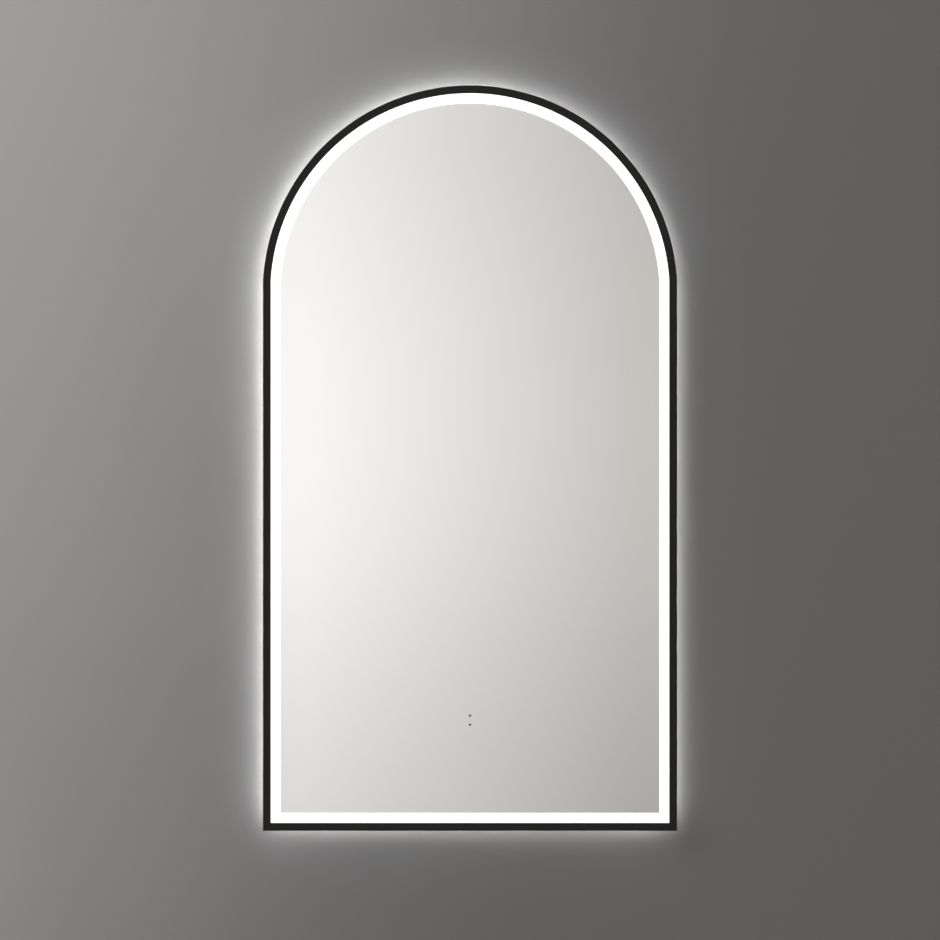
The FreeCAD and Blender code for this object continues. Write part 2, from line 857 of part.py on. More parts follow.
def frame_screws():
    """Pan-head screws through the tabs into the inner walls, heads inside the ring."""
    body = new_body("frame_screws")
    rises = [rise for pair in screw_rises.values() for rise in pair]
    centres = [("-screw_level", rise) for rise in rises]
    for side, reverse in (("", False), ("-", True)):
        head_face = f"{side}(inside - bar_thickness)"
        shank = new_sketch(body, "YZ_Plane", head_face)
        draw_circles(shank, centres, "frame_screw_radius")
        pad(body, shank, "bar_thickness + frame_wall + frame_screw_tip", reverse=reverse)
        head = new_sketch(body, "YZ_Plane", head_face)
        draw_circles(head, centres, "frame_screw_head")
        pad(body, head, "frame_screw_head_height", reverse=not reverse)
    return body


# ---- Hanging: a folded rail on the wall, and the rail on the mirror that hooks over it

place("hook_back", "rail_thickness + 2 * hook_play")  # wall to the back of the wall rail's hook
place("hook_front", "hook_back + rail_thickness")
place("hanger_front", "wall_gap - rail_thickness")


def folded_rail(label, corners, length, on_mirror):
    body = new_body(label, on_mirror)
    section = new_sketch(body, "YZ_Plane")
    draw(section, corners)
    pad(body, section, length, middle=True)
    return body


def wall_rail():
    body = folded_rail("wall_rail", [
        ("0", "-rail_below"),
        ("-rail_thickness", "-rail_below"),
        ("-rail_thickness", "rail_shelf"),
        ("-hook_front", "rail_shelf"),
        ("-hook_front", "rail_shelf + hook_height"),
        ("-hook_back", "rail_shelf + hook_height"),
        ("-hook_back", "rail_shelf + rail_thickness"),
        ("0", "rail_shelf + rail_thickness"),
    ], "rail_length", False)
    bend = {"y": -number("hook_front"), "z": number("rail_shelf")}
    round_edges(body, "rail_bend", lambda edge: lies_at(edge, **bend))
    holes = new_sketch(body, "XZ_Plane", "rail_thickness / 2")
    draw_circles(holes, mirrored([("wall_hole_spacing / 2", "0")]), "wall_hole_radius")
    pocket(body, holes, f"rail_thickness + {saw_allowance}", middle=True)
    return body


def hanger_screw_places():
    rise = "hanger_top - hanger_height + rail_below / 2 + hanger_screw_rise"
    return mirrored([("hanger_screw_inner / 2", rise), ("hanger_screw_outer / 2", rise)])


def hanger_rail():
    foot = "hook_top - hook_height + rail_thickness + hook_foot"
    body = folded_rail("hanger_rail", [
        ("-wall_gap", "hanger_top - hanger_height"),
        ("-hanger_front", "hanger_top - hanger_height"),
        ("-hanger_front", "hanger_top - rail_thickness"),
        ("-(hook_play + rail_thickness)", "hanger_top - rail_thickness"),
        ("-(hook_play + rail_thickness)", foot),
        ("-hook_play", foot),
        ("-hook_play", "hanger_top"),
        ("-wall_gap", "hanger_top"),
    ], "hanger_length", True)
    height = number("hanger_top - rail_height")
    levels = [-number("hook_play"), -number("wall_gap")]
    round_edges(body, "rail_bend", lambda edge: any(lies_at(edge, y=level, z=height) for level in levels))
    holes = new_sketch(body, "XZ_Plane", "wall_gap - rail_thickness / 2")
    draw_circles(holes, hanger_screw_places(), "frame_screw_radius + screw_play")
    pocket(body, holes, f"rail_thickness + {saw_allowance}", middle=True)
    return body


def hanger_screws():
    body = new_body("hanger_screws")
    shank = new_sketch(body, "XZ_Plane", "hanger_front")
    draw_circles(shank, hanger_screw_places(), "frame_screw_radius")
    pad(body, shank, "rail_thickness + bar_thickness + nut_height + rib")
    head = new_sketch(body, "XZ_Plane", "hanger_front")
    draw_circles(head, hanger_screw_places(), "frame_screw_head")
    pad(body, head, "frame_screw_head_height", reverse=True)
    return body


def hanger_nuts():
    outlines = [hexagon(f"({x})", f"({y})", "nut_across") for x, y in hanger_screw_places()]
    bores = [(hanger_screw_places(), "frame_screw_radius + screw_play")]
    return plate("hanger_nuts", outlines, "bar_front", "nut_height", bores)


def bumper_places():
    return mirrored([("bumper_spacing / 2", "lower_bar_rise + lower_bar_height / 2")])


def wall_bumpers():
    """Rubber feet between the lower crossbar and the wall, each held by a barbed stem."""
    body = new_body("wall_bumpers")
    for start, radius, length in (
        ("0", "bumper_radius", "wall_gap"),
        ("wall_gap", "bumper_stem", "bar_thickness"),
        ("bar_front", "bumper_stem + bumper_barb", "2 * bumper_barb"),
    ):
        sketch = new_sketch(body, "XZ_Plane", start)
        draw_circles(sketch, bumper_places(), radius)
        pad(body, sketch, length)
    return body


# ---- Control box in the tray: terminals at the left, driver at the right

place("box_front", "tray_floor - box_tape")
place("box_back", "box_front - box_depth")
place("box_bottom", "tray_middle - box_height / 2")
place("box_top", "tray_middle + box_height / 2")
place("box_left", "-box_width / 2")
place("box_right", "box_width / 2")
place("box_floor", "box_front - box_wall")
place("box_middle_level", "(box_floor + box_back) / 2")
place("divider_x", "box_left + box_divider")
place("boss_inset", "boss_radius + box_wall / 2")


def boss_places():
    low = "box_bottom + boss_inset"
    high = "box_top - boss_inset"
    return mirrored([("box_width / 2 - boss_inset", low), ("box_width / 2 - boss_inset", high)])


def lead_places():
    """Where the leads leave the bottom of the box, from left to right: sensor, halo and front band."""
    return [(f"lead_start + {step} * lead_pitch", "-box_middle_level") for step in range(3)]


demister_place = ("lead_start + 2 * lead_pitch", "-box_middle_level")


def control_box_base():
    body = new_body("control_box_base")
    shell = new_sketch(body, "XZ_Plane", "box_back")
    draw(shell, round_rectangle("box_left", "box_bottom", "box_right", "box_top", "box_corner"))
    pad(body, shell, "box_depth")
    hollow = new_sketch(body, "XZ_Plane", "box_back")
    bounds = ("box_left + box_wall", "box_bottom + box_wall", "box_right - box_wall", "box_top - box_wall")
    draw(hollow, round_rectangle(*bounds, "(box_corner - box_wall)"))
    pocket(body, hollow, "box_depth - box_wall", reverse=True)

    inside = new_sketch(body, "XZ_Plane", "box_back")
    draw_circles(inside, boss_places(), "boss_radius")
    pad(body, inside, "box_depth - box_wall / 2")
    divider = new_sketch(body, "XZ_Plane", "box_back + lid_lip + box_wall")
    edges = ("box_bottom + box_wall / 2", "box_top - box_wall / 2")
    draw(divider, rectangle("divider_x", edges[0], "divider_x + box_wall", edges[1]))
    pad(body, divider, "box_depth - lid_lip - 1.5 * box_wall")
    bores = new_sketch(body, "XZ_Plane", "box_back")
    draw_circles(bores, boss_places(), "box_screw_radius + screw_play")
    pocket(body, bores, "box_screw_length + rib", reverse=True)

    gland_hole = new_sketch(body, "YZ_Plane", "box_left + box_wall / 2")
    draw_circles(gland_hole, [("-box_middle_level", "tray_middle")], "gland_thread + screw_play")
    pocket(body, gland_hole, f"box_wall + {saw_allowance}", middle=True)
    below = new_sketch(body, "XY_Plane", "box_bottom + box_wall / 2")
    draw_circles(below, lead_places(), "grommet_neck + screw_play")
    pocket(body, below, f"box_wall + {saw_allowance}", middle=True)
    above = new_sketch(body, "XY_Plane", "box_top - box_wall / 2")
    draw_circles(above, [demister_place], "grommet_neck + screw_play")
    pocket(body, above, f"box_wall + {saw_allowance}", middle=True)
    return body


def control_box_lid():
    """The lid, with a lip that enters the base, sunk screw holes and a row of vents over the driver."""
    body = new_body("control_box_lid")
    cover = new_sketch(body, "XZ_Plane", "box_back - lid_thickness")
    draw(cover, round_rectangle("box_left", "box_bottom", "box_right", "box_top", "box_corner"))
    pad(body, cover, "lid_thickness")
    rim = -number("box_back - lid_thickness")
    round_edges(body, "lid_thickness / 2", lambda edge: lies_at(edge, y=rim))
    lip = new_sketch(body, "XZ_Plane", "box_back")
    past_boss = "(boss_inset + boss_radius + board_play)"
    past_wall = "(box_wall + board_play)"
    for inward in ("0", "box_wall"):
        draw(lip, rectangle(
            f"box_left + {past_boss} + {inward}",
            f"box_bottom + {past_wall} + {inward}",
            f"box_right - {past_boss} - {inward}",
            f"box_top - {past_wall} - {inward}",
        ))
    pad(body, lip, "lid_lip")
    sinks = new_sketch(body, "XZ_Plane", "box_back - lid_thickness")
    draw_circles(sinks, boss_places(), "box_screw_head + screw_play")
    pocket(body, sinks, "box_screw_sink", reverse=True)
    holes = new_sketch(body, "XZ_Plane", "box_back - lid_thickness")
    draw_circles(holes, boss_places(), "box_screw_radius + screw_play")
    pocket(body, holes, "lid_thickness", reverse=True)

    vents = new_sketch(body, "XZ_Plane", "box_back - lid_thickness")
    start = "driver_middle - (vent_count - 1) * vent_pitch / 2 - vent_width / 2"
    low = "tray_middle - vent_length / 2"
    high = "tray_middle + vent_length / 2"
    for step in range(int(number("vent_count"))):
        left = f"{start} + {step} * vent_pitch"
        draw(vents, rectangle(left, low, f"{left} + vent_width", high))
    pocket(body, vents, "lid_thickness", reverse=True)
    return body


def control_box_screws():
    body = new_body("control_box_screws")
    under_head = "box_back - lid_thickness + box_screw_sink"
    shank = new_sketch(body, "XZ_Plane", under_head)
    draw_circles(shank, boss_places(), "box_screw_radius")
    pad(body, shank, "box_screw_length")
    head = new_sketch(body, "XZ_Plane", under_head)
    draw_circles(head, boss_places(), "box_screw_head")
    pad(body, head, "box_screw_sink", reverse=True)
    return body


def box_tapes():
    outlines = []
    for side in ("", "-"):
        near = f"{side}(box_width / 2 - box_tape_inset - box_tape_width)"
        far = f"{side}(box_width / 2 - box_tape_inset)"
        outlines.append(rectangle(near, "box_bottom + box_corner", far, "box_top - box_corner"))
    return plate("box_tapes", outlines, "box_front", "box_tape")


place("driver_left", "divider_x + 2 * box_wall")
place("driver_right", "driver_left + driver_width")
place("driver_middle", "driver_left + driver_width / 2")
place("driver_bottom", "tray_middle - driver_height / 2")
place("driver_top", "tray_middle + driver_height / 2")


def led_driver():
    """The driver module: a potted case with a step at each end, where its wires enter."""
    body = new_body("led_driver")
    case = new_sketch(body, "XZ_Plane", "box_floor - driver_depth")
    bounds = ("driver_left", "driver_bottom", "driver_right", "driver_top")
    draw(case, round_rectangle(*bounds, "driver_corner"))
    pad(body, case, "driver_depth")
    ends = new_sketch(body, "XZ_Plane", "box_floor - driver_depth")
    low = f"driver_bottom - {saw_allowance}"
    high = f"driver_top + {saw_allowance}"
    draw(ends, rectangle(f"driver_left - {saw_allowance}", low, "driver_left + driver_step", high))
    draw(ends, rectangle("driver_right - driver_step", low, f"driver_right + {saw_allowance}", high))
    pocket(body, ends, "driver_depth / 2", reverse=True)
    return body


place("terminal_left", "divider_x - 2 * box_wall - terminal_width")
place("terminal_bottom", "tray_middle - terminal_height / 2")
place("terminal_pitch", "terminal_height / terminal_count")


def terminal_block():
    """Three poles, each with a screw well at the back and a wire hole at the left."""
    body = new_body("terminal_block")
    block = new_sketch(body, "XZ_Plane", "box_floor - terminal_depth")
    right = "terminal_left + terminal_width"
    top = "terminal_bottom + terminal_height"
    draw(block, rectangle("terminal_left", "terminal_bottom", right, top))
    pad(body, block, "terminal_depth")
    steps = range(int(number("terminal_count")))
    middles = [f"terminal_bottom + ({step} + 0.5) * terminal_pitch" for step in steps]
    wells = new_sketch(body, "XZ_Plane", "box_floor - terminal_depth")
    draw_circles(wells, [("terminal_left + terminal_width / 2", z) for z in middles], "terminal_well")
    pocket(body, wells, "terminal_well_depth", reverse=True)
    entries = new_sketch(body, "YZ_Plane", "terminal_left")
    draw_circles(entries, [("-(box_floor - terminal_depth / 3)", z) for z in middles], "terminal_entry")
    pocket(body, entries, "terminal_entry_depth", reverse=True)
    return body


def cable_gland():
    """A gland in the left wall of the box, its mouth towards the left, for the supply cable of the wall."""
    body = new_body("cable_gland")
    centre = [("-box_middle_level", "tray_middle")]
    collar = new_sketch(body, "YZ_Plane", "box_left")
    draw(collar, hexagon("-box_middle_level", "tray_middle", "gland_across"))
    pad(body, collar, "gland_hex", reverse=True)
    dome = new_sketch(body, "YZ_Plane", "box_left - gland_hex")
    draw_circles(dome, centre, "gland_thread + screw_play")
    pad(body, dome, "gland_dome", reverse=True)
    mouth = number("box_left - gland_hex - gland_dome")
    round_edges(body, "gland_rounding", lambda edge: lies_at(edge, x=mouth))
    thread = new_sketch(body, "YZ_Plane", "box_left")
    draw_circles(thread, centre, "gland_thread")
    pad(body, thread, "gland_inside")
    bore = new_sketch(body, "YZ_Plane", "box_left")
    draw_circles(bore, centre, "gland_bore")
    pocket(body, bore, "2 * (gland_hex + gland_dome + gland_inside)", middle=True)
    return body


def gland_locknut():
    body = new_body("gland_locknut")
    sketch = new_sketch(body, "YZ_Plane", "box_left + box_wall")
    draw(sketch, hexagon("-box_middle_level", "tray_middle", "gland_across"))
    draw_circles(sketch, [("-box_middle_level", "tray_middle")], "gland_thread + screw_play")
    pad(body, sketch, "locknut_height")
    return body


def lead_grommets():
    body = new_body("lead_grommets")
    rows = (("box_bottom", lead_places(), False), ("box_top", [demister_place], True))
    for wall_face, centres, up in rows:
        neck = new_sketch(body, "XY_Plane", wall_face)
        draw_circles(neck, centres, "grommet_neck")
        draw_circles(neck, centres, "lead_radius + lead_play")
        pad(body, neck, "box_wall", reverse=up)
        flange = new_sketch(body, "XY_Plane", wall_face)
        draw_circles(flange, centres, "grommet_flange")
        draw_circles(flange, centres, "lead_radius + lead_play")
        pad(body, flange, "grommet_flange_height", reverse=not up)
    return body


# ---- Demister: a heating film on the back of the silvering, and the cap over its solder tags

place("pad_back", "silver_back - pad_thickness")
place("cap_x", "lead_start + 2 * lead_pitch")
place("cap_back", "pad_back - cap_thickness")


def demister():
    bounds = ("-pad_width / 2", "pad_rise", "pad_width / 2", "pad_rise + pad_height")
    plate("demister_pad", [round_rectangle(*bounds, "pad_corner")], "pad_back", "pad_thickness")
    bounds = ("cap_x - cap_width / 2", "pad_rise", "cap_x + cap_width / 2", "pad_rise + cap_height")
    cap = plate("demister_cap", [rectangle(*bounds)], "cap_back", "cap_thickness")
    top = -number("cap_back")
    round_edges(cap, "lead_radius / 2", lambda edge: lies_at(edge, y=top))
    entry = new_sketch(cap, "XY_Plane", "pad_rise")
    draw_circles(entry, [("cap_x", "-demister_level")], "lead_radius + lead_play")
    pocket(cap, entry, "lead_inside + lead_play", reverse=True)


place("demister_level", "pad_back - cap_thickness / 2")

# ---- Sensor behind the two windows: housing, board with its two diodes, and cover

place("sensor_low", "sensor_rise - sensor_height / 2")
place("sensor_high", "sensor_rise + sensor_height / 2")
place("sensor_back", "silver_back - sensor_depth")
place("cover_back", "sensor_back - sensor_cover_depth")
place("board_back", "sensor_back")
place("board_front", "board_back + board_thickness")
place("sensor_lead_level", "(sensor_back + cover_back) / 2 + sensor_wall / 2")


def sensor_outline(inset):
    half = f"(sensor_width / 2 - ({inset}))"
    corners = (f"-{half}", f"sensor_low + {inset}", half, f"sensor_high - ({inset})")
    return round_rectangle(*corners, f"(sensor_corner - ({inset}))")


def diode_places():
    return [("0", "sensor_rise + sensor_pitch / 2"), ("0", "sensor_rise - sensor_pitch / 2")]


def sensor():
    housing = plate("sensor_housing", [sensor_outline("0")], "sensor_back", "sensor_depth")
    recess = new_sketch(housing, "XZ_Plane", "sensor_back")
    draw(recess, sensor_outline("sensor_wall"))
    pocket(housing, recess, "board_thickness + diode_flange_height + diode_play", reverse=True)
    tubes = new_sketch(housing, "XZ_Plane", "sensor_back")
    draw_circles(tubes, diode_places(), "diode_radius + diode_play")
    pocket(housing, tubes, "sensor_depth", reverse=True)

    plate("sensor_board", [sensor_outline("sensor_wall + board_play")], "board_back", "board_thickness")

    cover = plate("sensor_cover", [sensor_outline("0")], "cover_back", "sensor_cover_depth")
    hollow = new_sketch(cover, "XZ_Plane", "sensor_back")
    draw(hollow, sensor_outline("sensor_wall"))
    pocket(cover, hollow, "sensor_cover_depth - sensor_wall")
    entry = new_sketch(cover, "XY_Plane", "sensor_high - sensor_wall / 2")
    draw_circles(entry, [("0", "-sensor_lead_level")], "lead_radius + lead_play")
    pocket(cover, entry, f"sensor_wall + {saw_allowance}", middle=True)

    for label, spot in zip(("ir_emitter", "ir_receiver"), diode_places()):
        diode(label, spot)


def diode(label, spot):
    """A 3 mm diode with a flange on the board and a domed tip in the housing's tube."""
    body = new_body(label)
    flange = new_sketch(body, "XZ_Plane", "board_front")
    draw_circles(flange, [spot], "diode_flange")
    pad(body, flange, "diode_flange_height")
    barrel = new_sketch(body, "XZ_Plane", "board_front")
    draw_circles(barrel, [spot], "diode_radius")
    pad(body, barrel, "diode_reach")
    tip = -number("board_front + diode_reach")
    round_edges(body, "diode_dome", lambda edge: lies_at(edge, y=tip))
    return body


# ---- Leads: straight runs joined by tangent arcs, and the saddles that hold them to the glass


def lead(label, stops):
    """A round lead through the stops (x, level, height); each arc is as large as its runs allow."""
    points = [FreeCAD.Vector(number(x), -number(level), number(height)) for x, level, height in stops]
    thickness = number("lead_radius")
    edges = []
    start = points[0]
    smallest = float("inf")
    for before, corner, after in zip(points, points[1:], points[2:]):
        into = (corner - before).normalize()
        away = (after - corner).normalize()
        turn = into.getAngle(away)
        shorter = min((corner - before).Length, (after - corner).Length)
        tangent = bend_share * shorter
        radius = tangent / math.tan(turn / 2)
        smallest = min(smallest, radius)
        arc_start = corner - into * tangent
        arc_end = corner + away * tangent
        bisector = (away - into).normalize()
        middle = corner + bisector * (radius / math.cos(turn / 2) - radius)
        edges.append(Part.LineSegment(start, arc_start).toShape())
        edges.append(Part.Arc(arc_start, middle, arc_end).toShape())
        start = arc_end
    edges.append(Part.LineSegment(start, points[-1]).toShape())
    path = Part.Wire(edges)
    first = (points[1] - points[0]).normalize()
    section = Part.Wire([Part.makeCircle(thickness, points[0], first)])
    tube = path.makePipeShell([section], True, False)
    share = tube.Volume / (math.pi * thickness**2 * path.Length)
    print(f"{label}: {path.Length:.0f} mm, tightest bend {smallest:.1f} mm, volume share {share:.4f}")
    return new_shape(label, tube)


place("lead_level", "silver_back - saddle_wall - lead_play - lead_radius")
place("sensor_exit_x", "lead_start")
place("halo_exit_x", "lead_start + lead_pitch")
place("front_exit_x", "lead_start + 2 * lead_pitch")
place("drop_high", "tray_rise - lead_drop")
place("drop_low", "drop_high - lead_fall")
place("run_end", "lower_bar_rise + lower_bar_height + lead_rest")
place("swing_end", "run_end - lead_swing")
place("dive_start", "carrier_width + lead_dive")


def leads():
    middle = "box_middle_level"
    lead("sensor_lead", [
        ("sensor_exit_x", middle, "driver_bottom"),
        ("sensor_exit_x", middle, "drop_high"),
        ("sensor_exit_x - lead_sway", "sensor_lead_level + lead_sway", "drop_low + lead_lift"),
        ("lead_sway", "sensor_lead_level + lead_sway", "sensor_high + 2 * lead_drop"),
        ("0", "sensor_lead_level", "sensor_high + lead_drop / 2"),
        ("0", "sensor_lead_level", "sensor_high - sensor_wall - lead_play"),
    ])
    lead("halo_led_lead", [
        ("halo_exit_x", middle, "driver_bottom"),
        ("halo_exit_x", middle, "drop_high"),
        ("halo_exit_x", "lead_level", "drop_low"),
        ("halo_exit_x", "lead_level", "run_end"),
        ("halo_exit_x / 2", "lead_level - lead_lift", "swing_end"),
        ("0", "halo_lead_level", "dive_start"),
        ("0", "halo_lead_level", "inner_wall - strip_gap"),
        ("strip_gap", "halo_lead_level", "inner_wall - strip_gap"),
        ("strip_gap", "halo_lead_level", "halo_strip_inset - tape"),
    ])
    lead("front_led_lead", [
        ("front_exit_x", middle, "driver_bottom"),
        ("front_exit_x", middle, "drop_high"),
        ("front_exit_x", "lead_level", "drop_low"),
        ("front_exit_x", "lead_level", "run_end"),
        ("front_exit_x - 2 * lead_drop", "lead_level", "swing_end"),
        ("front_lead_x", "screw_level", "dive_start"),
        ("front_lead_x", "screw_level", "front_strip_inset + strip_thickness + tape"),
    ])
    lead("demister_lead", [
        ("cap_x", middle, "driver_top"),
        ("cap_x", middle, "tray_top + lead_drop"),
        ("cap_x", "demister_level", "pad_rise - lead_dive"),
        ("cap_x", "demister_level", "pad_rise + lead_inside"),
    ])


def cable_saddles():
    """Stick-on saddles over the two long leads."""
    body = new_body("cable_saddles")
    half = "(lead_radius + lead_play + saddle_wall)"
    for rise in ("drop_low - saddle_run", "run_end + saddle_run"):
        sketch = new_sketch(body, "XY_Plane", rise)
        for x in ("halo_exit_x", "front_exit_x"):
            draw(sketch, [
                (f"{x} - saddle_foot", "-silver_back"),
                (f"{x} + saddle_foot", "-silver_back"),
                (f"{x} + saddle_foot", "-(silver_back - saddle_wall)"),
                (f"{x} + {half}", "-(silver_back - saddle_wall)"),
                (f"{x} + {half}", "-lead_level", x, "-lead_level"),
                (x, f"-(lead_level - {half})", x, "-lead_level"),
                (f"{x} - {half}", "-lead_level"),
                (f"{x} - {half}", "-(silver_back - saddle_wall)"),
                (f"{x} - saddle_foot", "-(silver_back - saddle_wall)"),
            ])
            draw_circles(sketch, [(x, "-lead_level")], "lead_radius + lead_play")
        pad(body, sketch, "saddle_length")
    return body


def build():
    arch()
    leg("frame_left_leg", "-1")
    leg("frame_right_leg", "1")
    bottom_rail()
    corner_keys()
    splice_keys()
    key_screws()
    glass_pack()
    setting_blocks()
    led_strip("front_led_strip", "front_strip_inset", "front_strip_back")
    led_strip("halo_led_strip", "halo_strip_inset", "halo_strip_back")
    led_row("front_leds", number("front_strip_inset + strip_thickness + solder"), 1, "front_strip_back")
    led_row("halo_leds", number("halo_strip_inset - solder"), -1, "halo_strip_back")
    upper_bar = ("upper_bar_bottom", "upper_bar_height", screw_rises["upper"])
    crossbar("upper_crossbar", *upper_bar, hanger_screw_places(), "frame_screw_radius + screw_play")
    lower_bar = ("lower_bar_rise", "lower_bar_height", screw_rises["lower"])
    crossbar("lower_crossbar", *lower_bar, bumper_places(), "bumper_stem + screw_play")
    gear_tray()
    frame_screws()
    wall_rail()
    hanger_rail()
    hanger_screws()
    hanger_nuts()
    wall_bumpers()
    control_box_base()
    control_box_lid()
    control_box_screws()
    box_tapes()
    led_driver()
    terminal_block()
    cable_gland()
    gland_locknut()
    lead_grommets()
    demister()
    sensor()
    leads()
    cable_saddles()


def check_and_write():
    doc.recompute()
    for item in doc.Objects:
        if "Invalid" in item.State or "Error" in item.State:
            raise RuntimeError(f"{item.Name}: {item.State} {item.getStatusString()}")
    kinds = ("PartDesign::Body", "Part::Feature")
    pieces = [item for item in doc.Objects if item.TypeId in kinds]
    for item in pieces:
        if item.Shape.isNull() or not item.Shape.isValid() or not item.Shape.Solids:
            raise RuntimeError(f"{item.Label} has no valid solid")
    for item in pieces:
        item.Shape.exportStep(f"parts/{item.Label}.step")
    print(len(pieces), "nodes,", sum(len(item.Shape.Solids) for item in pieces), "solids")


build()
check_and_write()
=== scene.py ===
import math

import bmesh
import bpy
from mathutils import Matrix, Vector


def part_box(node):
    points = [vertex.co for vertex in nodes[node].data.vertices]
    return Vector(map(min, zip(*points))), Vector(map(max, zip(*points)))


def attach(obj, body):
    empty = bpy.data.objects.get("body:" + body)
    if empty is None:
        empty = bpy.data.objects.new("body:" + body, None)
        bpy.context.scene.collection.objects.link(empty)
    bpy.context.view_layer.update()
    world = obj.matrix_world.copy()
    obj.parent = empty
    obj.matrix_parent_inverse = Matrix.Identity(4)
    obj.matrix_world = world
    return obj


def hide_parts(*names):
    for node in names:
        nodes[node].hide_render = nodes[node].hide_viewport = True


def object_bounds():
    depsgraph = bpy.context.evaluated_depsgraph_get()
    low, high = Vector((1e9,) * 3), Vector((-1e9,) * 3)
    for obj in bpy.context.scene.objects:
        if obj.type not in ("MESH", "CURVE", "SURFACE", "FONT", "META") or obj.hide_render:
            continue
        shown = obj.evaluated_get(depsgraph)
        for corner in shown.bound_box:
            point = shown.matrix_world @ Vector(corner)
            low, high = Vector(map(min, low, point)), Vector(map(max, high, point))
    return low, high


# A lighted bathroom mirror on a plain wall: black frame, lit band, silvered face and a halo on the wall.
# Metres, +Z up, the front faces -Y and the wall is the plane y = 0.

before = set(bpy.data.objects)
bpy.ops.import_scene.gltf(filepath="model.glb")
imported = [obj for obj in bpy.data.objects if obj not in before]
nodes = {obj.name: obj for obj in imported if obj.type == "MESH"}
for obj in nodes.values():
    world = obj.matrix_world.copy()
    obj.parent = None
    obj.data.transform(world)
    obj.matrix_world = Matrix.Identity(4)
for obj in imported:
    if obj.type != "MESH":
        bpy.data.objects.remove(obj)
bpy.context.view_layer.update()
mm = 0.001
print("frame loaded:", len(nodes), "nodes")


# Helpers

colourLow, colourHigh, colourOut = 6, 7, 2  # places of the colour sockets on a Mix node
bumpStrength = 0.6


def linear(hexColour):
    # sRGB hex to the linear colour that a socket takes
    channels = [int(hexColour[i : i + 2], 16) / 255 for i in (1, 3, 5)]
    return [c / 12.92 if c <= 0.04045 else ((c + 0.055) / 1.055) ** 2.4 for c in channels] + [1.0]


def addNode(tree, kind, settings=None, inputs=None):
    # a node with its settings, and with each input set to a value or linked from another node's output
    node = tree.nodes.new(kind)
    for name, value in (settings or {}).items():
        setattr(node, name, value)
    for name, value in (inputs or {}).items():
        if isinstance(value, bpy.types.NodeSocket):
            tree.links.new(value, node.inputs[name])
        else:
            node.inputs[name].default_value = value
    return node


def startMaterial(name, sockets):
    # a material with its shader's sockets set; gives back the material, its node tree, its shader and
    # the place on the surface in metres
    material = bpy.data.materials.new(name)
    material.use_nodes = True
    tree = material.node_tree
    shader = tree.nodes["Principled BSDF"]
    for socket, value in sockets.items():
        shader.inputs[socket].default_value = value
    where = addNode(tree, "ShaderNodeTexCoord").outputs["Object"]
    return material, tree, shader, where


def driftColour(tree, shader, where, colours, patch):
    # the base colour wanders between two hex values, in patches about as wide as patch, in metres
    noise = addNode(tree, "ShaderNodeTexNoise", None, {"Vector": where, "Scale": 1 / patch, "Detail": 3.0})
    blend = addNode(tree, "ShaderNodeMix", {"data_type": "RGBA"}, {
        "Factor": noise.outputs["Fac"], colourLow: linear(colours[0]), colourHigh: linear(colours[1]),
    })
    tree.links.new(blend.outputs[colourOut], shader.inputs["Base Color"])


def addGrain(tree, shader, where, size, height, roughness):
    # grains of a size and height in metres; the roughness spreads over its span with them
    noise = addNode(tree, "ShaderNodeTexNoise", None, {"Vector": where, "Scale": 1 / size, "Detail": 2.0})
    bump = addNode(tree, "ShaderNodeBump", None, {
        "Height": noise.outputs["Fac"], "Strength": bumpStrength, "Distance": height,
    })
    spread = addNode(tree, "ShaderNodeMapRange", None, {
        "Value": noise.outputs["Fac"], "To Min": roughness[0], "To Max": roughness[1],
    })
    tree.links.new(bump.outputs["Normal"], shader.inputs["Normal"])
    tree.links.new(spread.outputs["Result"], shader.inputs["Roughness"])


# Materials

def makePowderCoat():
    # aluminium extrusion with a baked polyester powder: an even matt black, with orange peel so fine
    # that it only softens the light. The real peel is 0.3 mm across and is drawn at 1 mm.
    coat = {"colours": ("#161615", "#1c1c1b"), "patch": 70 * mm, "peel": 1.0 * mm, "height": 0.03 * mm,
            "roughness": (0.45, 0.58), "ior": 1.5, "specular": 0.22}
    material, tree, shader, where = startMaterial("powderCoatedAluminium", {
        "IOR": coat["ior"], "Specular IOR Level": coat["specular"],
    })
    driftColour(tree, shader, where, coat["colours"], coat["patch"])
    addGrain(tree, shader, where, coat["peel"], coat["height"], coat["roughness"])
    return material


def makeFloatGlass():
    # low-iron float glass with polished edges: seen through, with no green in what the mirror shows
    glass = {"tints": ("#fdfcfc", "#fefdfd"), "patch": 300 * mm, "ior": 1.52}
    material, tree, shader, where = startMaterial("clearFloatGlass", {
        "IOR": glass["ior"], "Roughness": 0.0, "Transmission Weight": 1.0,
    })
    driftColour(tree, shader, where, glass["tints"], glass["patch"])
    return material


def makeSilver():
    # silver laid on the glass from solution: a clean and neutral reflection
    layer = {"colours": ("#fcfcfc", "#fefefe"), "patch": 400 * mm}
    material, tree, shader, where = startMaterial("depositedSilver", {"Metallic": 1.0, "Roughness": 0.0})
    driftColour(tree, shader, where, layer["colours"], layer["patch"])
    return material


def makeBackingPaint():
    # mirror paint poured on in a curtain and baked: flat slate grey with long shallow flow marks
    paint = {"colours": ("#6c7476", "#7c8485"), "patch": 90 * mm, "flow": 35 * mm, "height": 0.12 * mm,
             "roughness": (0.4, 0.52), "ior": 1.5, "stretch": (1.0, 1.0, 0.2)}
    material, tree, shader, where = startMaterial("mirrorBackingPaint", {"IOR": paint["ior"]})
    drawn = addNode(tree, "ShaderNodeMapping", None, {"Vector": where, "Scale": paint["stretch"]})
    driftColour(tree, shader, drawn.outputs["Vector"], paint["colours"], paint["patch"])
    addGrain(tree, shader, drawn.outputs["Vector"], paint["flow"], paint["height"], paint["roughness"])
    return material


